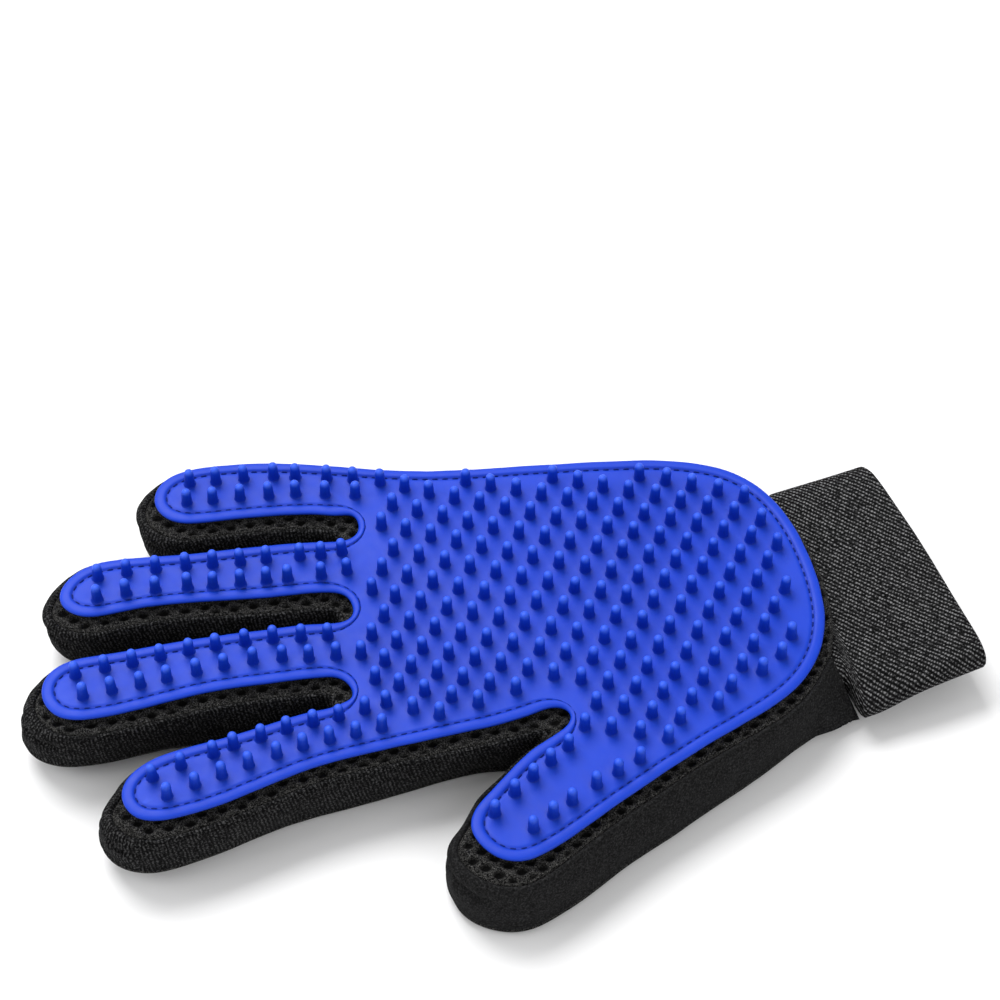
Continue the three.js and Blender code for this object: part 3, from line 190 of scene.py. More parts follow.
# outline of the back of the hand, which lies on the table
BACK = table("""
74,36.6 72.7,37.5 71.3,38.3 69.9,39 68.4,39.8 67.1,40.6 65.7,41.4 64.3,42.2
62.9,42.9 61.3,43.4 59.8,43.8 58.3,44.2 56.7,44.6 55.1,44.9 53.6,45.3 52,45.6
50.4,46 48.9,46.4 47.3,46.8 45.8,47.1 44.2,47.5 42.6,47.8 41.1,48.1 39.5,48.3
37.9,48.6 36.3,48.8 34.7,49.1 33.2,49.3 31.6,49.5 30,49.7 28.4,49.9 26.8,50.1
25.2,50.4 23.6,50.6 22,50.8 20.5,51 18.9,51.2 17.3,51.4 15.7,51.6 14.1,51.8
12.5,52 10.9,52.3 9.4,52.5 7.8,52.7 6.2,52.9 4.6,53.2 3,53.4 1.4,53.7
-0.1,53.9 -1.7,54.2 -3.3,54.5 -4.9,54.8 -6.4,55.1 -8,55.4 -9.6,55.8 -11.1,56.1
-12.7,56.5 -14.2,56.9 -15.8,57.3 -17.3,57.7 -18.9,58.2 -20.4,58.7 -21.9,59.1 -23.5,59.6
-25,60.1 -26.5,60.6 -28,61.1 -29.6,61.5 -31.1,62 -32.6,62.5 -34.1,63 -35.7,63.5
-37.2,64 -38.7,64.4 -40.3,64.9 -41.8,65.3 -43.4,65.7 -44.9,66.1 -46.5,66.4 -48,66.8
-49.6,67.1 -51.2,67.4 -52.8,67.6 -54.3,67.9 -55.9,68.1 -57.5,68.2 -59.1,68.4 -60.7,68.6
-62.3,68.7 -63.9,68.8 -65.5,69 -67.1,69.1 -68.7,69 -70.3,68.9 -71.9,68.6 -73.4,68.2
-74.9,67.5 -76.2,66.6 -77.4,65.6 -78.5,64.4 -79.2,63 -79.8,61.6 -80.1,60.1 -80.2,57.8
-80,55.6 -79.5,53.5 -79,52 -78.3,50.6 -77.4,49.3 -76.2,48.2 -74.9,47.3 -73.5,46.6
-72.1,46 -69.9,45.6 -68.3,45.4 -66.7,45.3 -65.1,45.2 -63.5,45.1 -61.9,44.9 -60.3,44.8
-58.7,44.7 -57.1,44.6 -55.5,44.5 -53.9,44.3 -52.3,44.2 -50.7,44.1 -49.1,43.9 -47.6,43.7
-46,43.5 -44.4,43.3 -42.8,43 -41.2,42.7 -39.7,42.4 -38.1,42 -36.6,41.5 -35,41.1
-33.5,40.5 -32.1,39.8 -33.3,38.2 -34.9,38.4 -36.4,38.7 -38,39 -39.6,39.3 -41.2,39.5
-42.8,39.8 -44.3,39.9 -45.9,40.1 -47.5,40.2 -49.1,40.4 -50.7,40.5 -52.3,40.6 -53.9,40.8
-55.5,40.9 -57.1,41 -58.7,41.2 -60.3,41.3 -61.9,41.4 -63.5,41.6 -65.1,41.7 -66.7,41.9
-68.3,42 -69.9,42.2 -71.5,42.4 -73,42.6 -74.6,42.8 -76.2,43 -77.8,43.2 -79.4,43.4
-81,43.7 -82.6,43.9 -84.1,44.1 -85.7,44.3 -87.3,44.5 -88.9,44.7 -90.5,44.8 -92.1,44.8
-93.7,44.7 -95.3,44.5 -96.9,44.2 -98.4,43.7 -99.9,43.2 -101.3,42.5 -102.7,41.6 -103.9,40.6
-105.1,39.5 -105.9,38.2 -106.6,36.7 -107,35.3 -107.1,33.8 -107.1,31.5 -106.7,30.1 -106.2,28.6
-105.5,27.3 -104.6,26 -103.5,24.9 -102.2,24 -100.8,23.2 -99.3,22.7 -97.7,22.4 -96.1,22.1
-94.5,22.1 -92.9,22.2 -91.3,22.2 -89.7,22.3 -88.1,22.4 -86.5,22.4 -84.9,22.5 -83.3,22.5
-81.7,22.5 -80.1,22.4 -78.5,22.3 -76.9,22.2 -75.3,22 -73.7,21.9 -72.2,21.7 -70.6,21.5
-69,21.3 -67.4,21 -65.8,20.8 -64.2,20.6 -62.6,20.3 -61.1,20.1 -59.5,19.9 -57.9,19.7
-56.3,19.4 -54.7,19.2 -53.1,19 -51.5,18.8 -49.9,18.7 -48.3,18.5 -46.8,18.4 -45.2,18.3
-43.6,18.1 -42,18 -40.4,17.8 -38.9,17.3 -37.5,16.5 -36.8,15.1 -38.5,14.1 -40.1,14.3
-41.7,14.5 -43.3,14.7 -44.9,14.9 -46.5,15.1 -48.1,15.2 -49.7,15.3 -51.3,15.5 -52.9,15.6
-54.5,15.7 -56.1,15.8 -57.7,15.9 -59.3,16 -60.9,16 -62.5,16.1 -64.1,16.2 -65.7,16.2
-67.3,16.2 -68.9,16.2 -70.5,16.3 -72.1,16.3 -73.7,16.3 -75.3,16.3 -76.9,16.3 -78.5,16.3
-80.1,16.3 -81.7,16.3 -83.3,16.3 -84.9,16.3 -86.5,16.4 -88.1,16.4 -89.7,16.4 -91.3,16.5
-92.9,16.6 -94.5,16.7 -96.1,16.8 -97.7,16.9 -99.3,17 -100.9,17 -102.5,17 -104,16.8
-105.6,16.5 -107.1,16 -108.6,15.3 -110,14.5 -111.3,13.5 -112.6,12.5 -113.9,11.4 -115.2,10
-116.3,8.5 -117,6.7 -117.3,4.8 -117.2,2.8 -116.6,1 -115.7,-0.8 -114.6,-2.3 -113.2,-3.5
-111.6,-4.5 -110,-5.3 -108.4,-5.9 -106.8,-6.2 -105.2,-6.5 -103.7,-6.7 -102.1,-6.8 -100.5,-6.8
-98.9,-6.9 -97.3,-6.9 -95.7,-6.8 -94.1,-6.6 -92.6,-6.5 -91,-6.3 -89.4,-6.1 -87.8,-5.9
-86.2,-5.7 -84.6,-5.5 -83,-5.4 -81.4,-5.4 -79.8,-5.4 -78.2,-5.5 -76.6,-5.6 -75,-5.6
-73.4,-5.6 -71.8,-5.5 -70.2,-5.5 -68.6,-5.5 -67,-5.6 -65.4,-5.6 -63.8,-5.7 -62.2,-5.7
-60.6,-5.8 -59,-5.9 -57.4,-6 -55.8,-6.1 -54.2,-6.1 -52.6,-6.2 -51,-6.3 -49.4,-6.4
-47.8,-6.5 -46.2,-6.6 -44.6,-6.8 -42.7,-8.1 -43.1,-9.8 -44.7,-10.1 -46.3,-10.1 -47.9,-10.2
-49.5,-10.3 -51.1,-10.4 -52.7,-10.6 -54.3,-10.9 -55.9,-11.1 -57.5,-11.4 -59,-11.6 -60.6,-11.9
-62.2,-12.1 -63.8,-12.4 -65.4,-12.6 -66.9,-12.8 -68.5,-13 -70.1,-13.2 -71.7,-13.4 -73.3,-13.5
-74.9,-13.6 -76.5,-13.7 -78.1,-13.8 -79.7,-13.9 -81.3,-14 -82.9,-14.2 -84.5,-14.4 -86.1,-14.6
-87.6,-14.9 -89.2,-15.3 -90.7,-15.7 -92.3,-16.3 -93.7,-16.9 -95.1,-17.6 -96.5,-18.5 -97.8,-19.4
-99.1,-20.5 -100.2,-21.7 -101.3,-23.1 -102.2,-24.7 -102.7,-26.5 -102.9,-28.3 -102.7,-30.2
-102.2,-31.9 -101.4,-33.6 -100.3,-35.1 -99,-36.4 -97.5,-37.5 -95.9,-38.2 -94.3,-38.8
-92.6,-39.2 -91,-39.3 -89.3,-39.3 -87.7,-39.1 -86.1,-38.9 -84.5,-38.6 -82.9,-38.3 -81.4,-37.9
-79.8,-37.6 -78.3,-37.2 -76.7,-36.8 -75.2,-36.4 -73.7,-36 -72.1,-35.5 -70.6,-35 -69.1,-34.5
-67.6,-34 -66.1,-33.6 -64.5,-33.1 -63,-32.7 -61.4,-32.2 -59.9,-31.8 -58.3,-31.4 -56.7,-31.1
-55.1,-30.8 -53.5,-30.5 -51.9,-30.2 -50.3,-30 -48.7,-29.8 -47,-29.7 -45.4,-29.5 -43.8,-29.4
-42.2,-29.2 -40.6,-29 -39,-28.9 -37.4,-28.7 -35.8,-28.6 -34.1,-28.4 -32.5,-28.2 -30.9,-28
-29.3,-27.9 -27.7,-27.7 -26.1,-27.5 -24.5,-27.3 -22.9,-27.1 -21.3,-26.9 -19.7,-26.8 -18.1,-26.6
-16.5,-26.5 -14.9,-26.4 -13.3,-26.3 -11.8,-26.3 -10.2,-26.4 -8.6,-26.5 -7,-26.7 -4.8,-27.1
-3.1,-27.4 -1.5,-27.8 0.2,-28.1 1.8,-28.2 3.4,-28.1 5,-28.3 3.6,-29.9 2.1,-30.6
0.7,-31.3 -0.7,-32 -2.1,-32.8 -3.5,-33.7 -4.8,-34.6 -6.1,-35.6 -7.3,-36.5 -8.6,-37.5
-9.9,-38.4 -11.2,-39.3 -12.6,-40.2 -13.9,-41.1 -15.3,-41.9 -16.7,-42.7 -18.1,-43.5 -19.4,-44.3
-20.8,-45.2 -21.9,-46.3 -22.9,-47.6 -23.7,-49 -24.3,-50.5 -24.7,-52 -25,-53.6 -25.1,-55.3
-25,-56.9 -24.8,-58.6 -24.5,-60.2 -24,-61.9 -23.2,-63.5 -22.2,-64.9 -21,-66.2 -19.7,-67.3
-18.2,-68.2 -16.6,-69.1 -15,-69.8 -13.3,-70.3 -11.6,-70.6 -9.8,-70.7 -8,-70.6 -6.2,-70.2
-4.6,-69.7 -3,-69.1 -1.4,-68.5 0.1,-67.9 1.6,-67.2 3.1,-66.6 4.6,-65.9 6,-65.2
7.4,-64.5 8.9,-63.7 10.3,-62.9 11.7,-62.2 13.1,-61.4 14.4,-60.7 15.9,-59.9 17.3,-59.2
18.7,-58.5 20.1,-57.9 21.6,-57.2 23,-56.6 24.5,-55.9 25.9,-55.3 27.4,-54.7 28.9,-54
30.3,-53.4 31.8,-52.7 33.2,-52 34.6,-51.3 36,-50.6 37.5,-49.9 38.9,-49.3 40.3,-48.6
41.8,-47.9 43.2,-47.3 44.7,-46.6 46.1,-46 47.6,-45.3 49,-44.7 50.5,-44 51.9,-43.3
53.4,-42.6 54.8,-41.9 56.3,-41.2 57.7,-40.4 59.1,-39.7 60.5,-38.9 62,-38.1 63.4,-37.3
64.9,-36.5 66.4,-35.8 67.8,-35.2 69.3,-34.4 70.8,-33.7 72.3,-33.2 74,-32.7 75.6,-32.4
77.2,-32.2 79.2,-31.9 80.9,-31.4 82.2,-30.4 83.3,-28.7 83.9,-27.3 84.4,-25.8 84.8,-24.2
85,-22.6 85.1,-21 85.1,-19.4 85,-17.8 85,-16.2 84.9,-14.6 84.9,-13 84.8,-11.4
84.8,-9.8 84.7,-8.2 84.7,-6.6 84.6,-5 84.5,-3.4 84.5,-1.8 84.4,-0.2 84.3,1.4
84.2,3 84.1,4.6 83.9,6.2 83.7,7.7 83.6,9.3 83.4,10.9 83.2,12.5 82.9,14.1
82.7,15.7 82.4,17.3 82.1,18.8 81.7,20.4 81.4,21.9 81,23.5 80.6,25.1 80.2,26.6
79.7,28.1 79.1,29.6 78.5,31.1 77.8,32.5 76.9,33.9 75.8,35 74.6,36.1
""")
# centres of the bristles
NUBS = table("""
-101,3.4 -101.9,9.8 -94,3.6 -94.8,10.3 -93.9,31.2 -88,-22.7 -87.1,3.8 -88.1,10.3
-92.9,37.4 -85.5,-28.3 -81.1,-20.9 -81.3,10.6 -86.8,31.3 -85.8,37.5 -78.7,-26.7 -80.3,4.1
-79.7,30.9 -78.7,37.1 -72.2,-25.4 -74.5,-19.5 -73.5,4.4 -74.5,10.8 -72.9,30.2 -71.9,36.4
-65.6,-24 -68.2,-18 -66.9,4.7 -67.9,10.9 -65.8,29.3 -64.8,35.5 -68.1,56 -66.5,61.8
-58.7,-22.7 -61.6,-17.2 -59.9,4.9 -60.8,10.8 -59,28.5 -58,34.7 -61.7,55.2 -60,61.1
-52.4,-21.8 -55.3,-16.3 -52.9,4.3 -54.1,10.2 -52.7,27.9 -51.7,34.1 -54.9,54.7 -53,60.5
-45.9,-21.3 -48.9,-15.7 -46.6,2.9 -47.4,9.1 -46.1,27.2 -45.1,33.4 -47.7,53.7 -45.5,59.5
-39.6,-20.9 -42.6,-15.4 -40.1,2 -41,8.2 -39.3,26.4 -40.7,52.8 -33.3,-20.6 -36.3,-14.8
-34.2,0.9 -33,32.5 -38.3,32.6 -33.9,51 -39,57.9 -30.9,-14.1 -27.1,-10.1 -32.3,-6.9
-29,-2.4 -30.6,5.7 -28,19.1 -32.9,26.5 -32.6,55.9 -25.1,-17.4 -21.4,-13.1 -23.3,-5.6
-25.2,2.2 -21.1,7.2 -26.8,10.5 -22.9,15.6 -24.5,24.4 -22,38 -26.6,49.1 -26.2,54
-19.4,-20.3 -15.6,-16.1 -17.6,-8.7 -19.4,-0.9 -15.4,4.1 -17.2,12.4 -18.9,20.9 -20.6,29.6
-16.5,34.8 -18.2,43.4 -19.7,51.7 -12,-49 -9.8,-19.2 -11.9,-11.7 -13.7,-3.9 -9.7,1
-11.4,9.3 -13.1,17.7 -9,23.1 -14.8,26.3 -10.8,31.7 -12.5,40.2 -14.1,48.5 -5,-55.5
-6.6,-44.9 -6,-14.7 -7.9,-6.9 -3.9,-1.9 -5.6,6.2 -7.4,14.6 -3.3,20.1 -5,28.5
-6.7,37.1 -8.4,45.4 0.7,-52.4 -1.6,-41.6 -0.2,-17.4 -2.1,-9.8 1.9,-4.7 0.2,3.3
-1.6,11.6 2.5,17.1 0.8,25.5 -0.9,33.9 -2.6,42.3 1.4,47.3 6.6,-49.5 3.4,-38.5
8.3,-35.3 3.8,-12.6 7.8,-7.5 6,0.5 4.2,8.7 8.3,14.1 6.6,22.5 4.9,30.9
3.1,39.2 7.2,44.3 12.4,-46.9 13.4,-30.7 9.6,-15.3 13.7,-10.1 11.9,-2.3 10.1,5.9
14.2,11.3 12.4,19.6 10.7,28 14.8,33.3 9,36.3 13.1,41.5 18.1,-44.5 19.3,-33
17.5,-25.4 15.6,-17.9 19.6,-12.8 17.8,-4.9 16,3.1 20.2,8.6 18.3,16.8 16.6,25
20.7,30.4 18.9,38.5 23.9,-42.2 25.6,-35.5 23.6,-28 21.6,-20.5 25.7,-15.4 23.8,-7.6
22,0.5 26.1,5.8 24.3,14 22.4,22.2 26.6,27.6 24.8,35.5 22.9,43.4 31.7,-38.3
29.7,-30.8 27.6,-23.1 31.7,-18.1 29.8,-10.2 27.9,-2.2 32,3.1 30.2,11.3 28.4,19.4
32.5,24.7 30.6,32.7 28.8,40.5 35.8,-33.8 33.7,-25.9 37.8,-21 35.9,-13 34,-4.9
38.1,0.4 36.2,8.5 34.3,16.7 38.4,21.9 36.5,29.8 34.6,37.7 39.9,-28.9 44,-24
42,-15.9 40,-7.8 44.1,-2.5 42.2,5.7 40.3,13.8 44.4,19.1 42.5,27 40.5,34.8
44.5,39.4 45.6,-31.6 50,-27.4 48.1,-19 46.1,-10.7 50.3,-5.5 48.3,2.7 46.4,11
50.4,16 48.5,24 46.5,31.9 50.5,36.6 54.2,-22.3 52.2,-13.9 56.3,-8.8 54.4,-0.4
52.4,7.8 56.5,12.9 54.4,21 52.4,28.9 56.4,33.4 58.5,-24.6 58.3,-17.4 62.4,-12.3
60.4,-3.7 58.4,4.6 62.5,9.6 60.5,17.8 58.4,25.7 62.4,30.4 64.2,-21.1 68.3,-16
66.4,-7.2 64.5,1.3 68.5,6.2 66.5,14.5 64.5,22.5 68.3,27 70.5,-2.3 72.4,10.9
70.4,19
""")


def finger(knuckle, heading, fold, reach, behind, at_knuckle, at_reach,
           knuckle_zone, middle_zone, tip):
    """Distances run from the knuckle along the heading.
    Widths are (towards -Y, towards +Y) pairs measured from the finger's axis."""
    heading = np.array(heading, float) / np.hypot(*heading)
    return SimpleNamespace(
        knuckle=np.array(knuckle, float), heading=heading,
        across=np.array([heading[1], -heading[0]]), fold=fold, reach=reach,
        behind=behind, at_knuckle=at_knuckle, at_reach=at_reach,
        knuckle_zone=knuckle_zone, middle_zone=middle_zone, tip=tip)


# knuckle, heading, middle fold, reach, widths (behind the knuckle, at it, at the reach),
# bending zones at knuckle and middle, fingertip
FINGERS = {
    "thumb": finger((5.4, -46.1), (-0.855, -0.520), 15, 45, (20, 15.2), (20, 17), (20, 30),
                    (-6.3, 6.7), (8.7, 21.3), 36.0),
    "index": finger((-50.5, -20.1), (-0.989, -0.147), 24, 62, (16, 10.5), (16, 11.4), (17, 17),
                    (-7.5, 7.5), (17, 31), 51.0),
    "middle": finger((-50.0, 5.6), (-1.0, 0.0085), 29, 74, (14.2, 10.7), (13.9, 11.1),
                     (18, 13.2), (-6.5, 8.0), (22, 36), 64.7),
    "ring": finger((-45.5, 30.3), (-0.996, 0.087), 28, 72, (14.0, 10.6), (13.4, 10.4),
                   (16, 13.4), (-7.5, 7.5), (21, 35), 62.5),
    "little": finger((-39.0, 54.5), (-0.989, 0.147), 20, 52, (14.1, 16), (13.6, 16), (16, 18),
                     (-7.5, 7.0), (13.2, 26.8), 42.0),
}

MESH_TOP, MESH_UNDER = 17.5, 15.9
BACK_TOP = 1.5
PAD_UNDER, PAD_TOP = 17.35, 19.8
RISE, RISE_FROM, RISE_TO = 4.5, -38.0, -103.0  # lift of the fingers off the table, over this x

# the strip's corners at the wrist: seam height and foot, on the thumb's and little finger's side
HEM_THUMB_TOP, HEM_THUMB_FOOT = np.array([78.6, -23.2]), np.array([83.2, -33.0])
HEM_LITTLE_TOP, HEM_LITTLE_FOOT = np.array([75.3, 31.6]), np.array([76.3, 33.9])


# ------------------------------------------------------------------ curves
def smoothstep(t):
    t = np.clip(t, 0, 1)
    return t * t * (3 - 2 * t)


def bell(x, width):
    return np.exp(-((x / width) ** 2))


def path_lengths(points):
    return np.r_[0, np.cumsum(np.hypot(*np.diff(points, axis=0).T))]


def at_lengths(points, lengths, wanted):
    return np.c_[np.interp(wanted, lengths, points[:, 0]),
                 np.interp(wanted, lengths, points[:, 1])]


def closed_resample(points, step=None, count=None):
    ring = np.vstack([points, points[:1]])
    lengths = path_lengths(ring)
    count = count or max(8, int(round(lengths[-1] / step)))
    return at_lengths(ring, lengths, np.linspace(0, lengths[-1], count, endpoint=False))


def open_resample(points, count):
    lengths = path_lengths(points)
    return at_lengths(points, lengths, np.linspace(0, lengths[-1], count))


def catmull(points, steps=8):
    """Smooth closed curve through the points, with tangents weighted by span length."""
    before, start = np.roll(points, 1, 0), points
    end, after = np.roll(points, -1, 0), np.roll(points, -2, 0)
    span = np.hypot(*(end - start).T)[:, None]
    span_before = np.hypot(*(start - before).T)[:, None]
    span_after = np.hypot(*(after - end).T)[:, None]
    tangent_in = span * ((start - before) / span_before * span
                         + (end - start) / span * span_before) / (span_before + span)
    tangent_out = span * ((end - start) / span * span_after
                          + (after - end) / span_after * span) / (span + span_after)
    out = []
    for j in range(steps):
        t = j / steps
        out.append((2 * t**3 - 3 * t**2 + 1) * start + (t**3 - 2 * t**2 + t) * tangent_in
                   + (-2 * t**3 + 3 * t**2) * end + (t**3 - t**2) * tangent_out)
    return np.stack(out, 1).reshape(-1, 2)


def gauss(points, sigma, closed=True):
    """Gaussian smoothing along a curve; sigma counts points."""
    reach = int(3 * sigma) + 1
    kernel = np.exp(-0.5 * (np.arange(-reach, reach + 1) / sigma) ** 2)
    kernel /= kernel.sum()
    if closed:
        padded = np.vstack([points[-reach:], points, points[:reach]])
    else:
        padded = np.vstack([np.repeat(points[:1], reach, 0), points,
                            np.repeat(points[-1:], reach, 0)])
    return np.stack([np.convolve(padded[:, i], kernel, "valid")
                     for i in range(points.shape[1])], 1)


def fine_closed(points, step, sigma=1.2):
    fine = 0.2
    curve = gauss(closed_resample(catmull(points), fine), sigma / fine)
    return closed_resample(curve, step)


def normals2(curve, closed=True):
    """Outward normals of an anticlockwise curve."""
    if closed:
        tangent = np.roll(curve, -1, 0) - np.roll(curve, 1, 0)
    else:
        tangent = np.gradient(curve, axis=0)
    tangent /= np.maximum(1e-9, np.hypot(*tangent.T))[:, None]
    return np.c_[tangent[:, 1], -tangent[:, 0]]


def inside(outline, points):
    """Crossing test, done in blocks to keep the arrays small."""
    block = 4000
    out = np.zeros(len(points), bool)
    start, end = outline, np.roll(outline, -1, 0)
    rise_y = np.where(end[:, 1] == start[:, 1], 1e-12, end[:, 1] - start[:, 1])
    for i in range(0, len(points), block):
        x, y = points[i:i + block, 0, None], points[i:i + block, 1, None]
        spans = (start[None, :, 1] > y) != (end[None, :, 1] > y)
        cross_x = (start[None, :, 0]
                   + (y - start[None, :, 1]) / rise_y * (end - start)[None, :, 0])
        out[i:i + block] = (np.sum(spans & (x < cross_x), 1) % 2) == 1
    return out


def tree_of(points):
    """Search tree; plan points are put at z = 0."""
    tree = kdtree.KDTree(len(points))
    for i, p in enumerate(points):
        tree.insert((p[0], p[1], p[2] if len(p) > 2 else 0), i)
    tree.balance()
    return tree


def dist(curve, points):
    """Distance from each plan point to the nearest point of the curve."""
    tree = tree_of(curve)
    return np.array([tree.find((x, y, 0))[2] for x, y in points])


def grid_inside(loop, step, margin, bounds=None):
    """Hexagonal grid inside a loop and further than margin from its points."""
    bounds = loop if bounds is None else bounds
    low, high = bounds.min(0), bounds.max(0)
    rows = np.arange(low[1], high[1], step * 0.8660254)
    grid_x, grid_y = np.meshgrid(np.arange(low[0], high[0], step), rows)
    grid_x = grid_x + (np.arange(len(rows)) % 2)[:, None] * step * 0.5
    grid = np.c_[grid_x.ravel(), grid_y.ravel()]
    grid = grid[inside(loop, grid)]
    return grid[dist(loop, grid) > margin]


def circle(count):
    return np.arange(count) * 2 * math.pi / count


def noise_at(points, scale, seed=0.0):
    return np.array([noise.noise((p[0] * scale + seed, p[1] * scale - seed,
                                  (p[2] if len(p) > 2 else 0) * scale)) for p in points])


# ------------------------------------------------------------------ triangles
def fill(loop, interior):
    """Triangles over the area inside loop; indices count the loop's points, then the interior."""
    count = len(loop)
    points = [Vector((float(x), float(y))) for x, y in np.vstack([loop, interior])]
    edges = [(i, (i + 1) % count) for i in range(count)]
    verts, _, faces, origins, _, _ = delaunay_2d_cdt(points, edges, [], 0, 1e-7)
    plan = np.array([[p.x, p.y] for p in verts])
    faces = np.array([t for t in faces if len(t) == 3], int).reshape(-1, 3)
    faces = faces[inside(np.asarray(loop), plan[faces].mean(1))]
    # go back to the order the points were given in
    order = np.full(len(verts), -1, int)
    for i, origin in enumerate(origins):
        if len(origin):
            order[i] = min(origin)
    faces = order[faces]
    faces = faces[(faces >= 0).all(1)]
    a, b, c = np.array([[p.x, p.y] for p in points])[faces].transpose(1, 0, 2)
    area = (b[:, 0] - a[:, 0]) * (c[:, 1] - a[:, 1]) - (c[:, 0] - a[:, 0]) * (b[:, 1] - a[:, 1])
    faces[area < 0] = faces[area < 0][:, ::-1]
    return faces[np.abs(area) > 1e-9]


def ring_faces(first, second, count, closed=True):
    """Two triangles for each step between two rings that start at these indices."""
    i = np.arange(count if closed else count - 1)
    j = (i + 1) % count
    return np.vstack([np.c_[first + i, first + j, second + j],
                      np.c_[first + i, second + j, second + i]])


class Skin:
    """Vertices and triangles gathered part by part."""

    def __init__(self):
        self.verts, self.faces, self.count = [], [], 0

    def add(self, points):
        start = self.count
        self.verts.append(points)
        self.count += len(points)
        return start

    def rings(self, rings, flip=False):
        """Adds rings of equal length, each joined to the next; gives their start indices."""
        starts = [self.add(ring) for ring in rings]
        for a, b in zip(starts, starts[1:]):
            if flip:
                a, b = b, a
            self.faces.append(ring_faces(a, b, len(rings[0])))
        return starts

    def fill(self, ring, ring_start, interior, heights, flip=False):
        """Adds the interior points of a ring already added and triangulates between them."""
        start = self.add(np.c_[interior, np.zeros(len(interior)) + heights])
        faces = fill(ring[:, :2], interior)
        count = len(ring)
        faces = np.where(faces < count, faces + ring_start, faces - count + start)
        self.faces.append(faces[:, ::-1] if flip else faces)
        return start

    def fan(self, ring_start, count, apex, flip=False):
        i = ring_start + np.arange(count)
        j = ring_start + (np.arange(count) + 1) % count
        if flip:
            i, j = j, i
        self.faces.append(np.c_[i, j, np.full(count, apex)])

    def arrays(self):
        return np.vstack(self.verts), np.vstack(self.faces)


def vertex_normals(verts, faces):
    a, b, c = verts[faces[:, 0]], verts[faces[:, 1]], verts[faces[:, 2]]
    face_normals = np.cross(b - a, c - a)
    normals = np.zeros_like(verts)
    for k in range(3):
        np.add.at(normals, faces[:, k], face_normals)
    return normals / np.maximum(np.linalg.norm(normals, axis=1), 1e-12)[:, None]


def face_outwards(verts, faces, vertex, outward):
    """Turns all faces over if the given vertex's normal points against outward."""
    if vertex_normals(verts, faces)[vertex] @ outward < 0:
        return faces[:, ::-1]
    return faces


# ------------------------------------------------------------------ shared shape of the glove
def finger_coords(points, finger):
    """Distance along the finger, and across it towards +Y."""
    offset = points[:, :2] - finger.knuckle
    return offset @ finger.heading, offset @ finger.across


def within(finger, along, across):
    """Whether a place lies between the finger's two sides."""
    widths = []
    for behind, knuckle, reach in zip(finger.behind, finger.at_knuckle, finger.at_reach):
        widths.append(np.where(
            along < 0,
            knuckle + (behind - knuckle) * np.clip(-along / 7.5, 0, 1),
            knuckle + (reach - knuckle) * np.clip(along / finger.reach, 0, 1)))
    return (across < widths[1]) & (across > -widths[0])


def which_finger(points):
    """0 for the palm, then 1 + 2 * finger for its base piece and 2 + 2 * finger for its tip."""
    out = np.zeros(len(points), int)
    for i, finger in enumerate(FINGERS.values()):
        along, across = finger_coords(points, finger)
        on = ((along > finger.knuckle_zone[0]) & (along < finger.reach + 8)
              & within(finger, along, across))
        cut = (finger.knuckle_zone[1] + finger.middle_zone[0]) / 2
        out[on & (along <= cut)] = 1 + 2 * i
        out[on & (along > cut)] = 2 + 2 * i
    return out


def rise(points):
    return RISE * smoothstep((RISE_FROM - points[:, 0]) / (RISE_FROM - RISE_TO))


def drape(points):
    """How far the palm side stands above or below its drawn height."""
    x, y = points[:, 0], points[:, 1]
    dome = 0.35 * np.exp(-(((x - 12) / 42) ** 2 + ((y + 2) / 34) ** 2)) - 0.05
    waves = (0.22 * np.sin(x / 17.0 + 0.7) * np.cos(y / 21.0 - 0.4)
             + 0.12 * np.sin(x / 6.3 + y / 9.1))
    return dome + waves


def tip_weight(points):
    """1 round the end of a finger, fading to 0 towards its root."""
    depth, run = 13.0, 10.0
    weight = np.zeros(len(points))
    for finger in FINGERS.values():
        along, across = finger_coords(points, finger)
        on = within(finger, np.maximum(along, 0), across)
        weight = np.maximum(weight, on * smoothstep((along - (finger.tip - depth)) / run))
    return weight


def wrist_weight(points):
    """1 along the wrist edge of the palm panel, 0 on the hand and on the thumb's side."""
    return smoothstep((points[:, 0] - 66) / 10) * (points[:, 1] > -24)


def seam_in(points):
    """How far in from the outline the palm-side seam runs."""
    wrist = wrist_weight(points)
    return (1.75 + 0.25 * tip_weight(points)) * (1 - wrist) + 1.1 * wrist


def nearest(curve, point):
    return int(np.hypot(*(curve - np.array(point)).T).argmin())


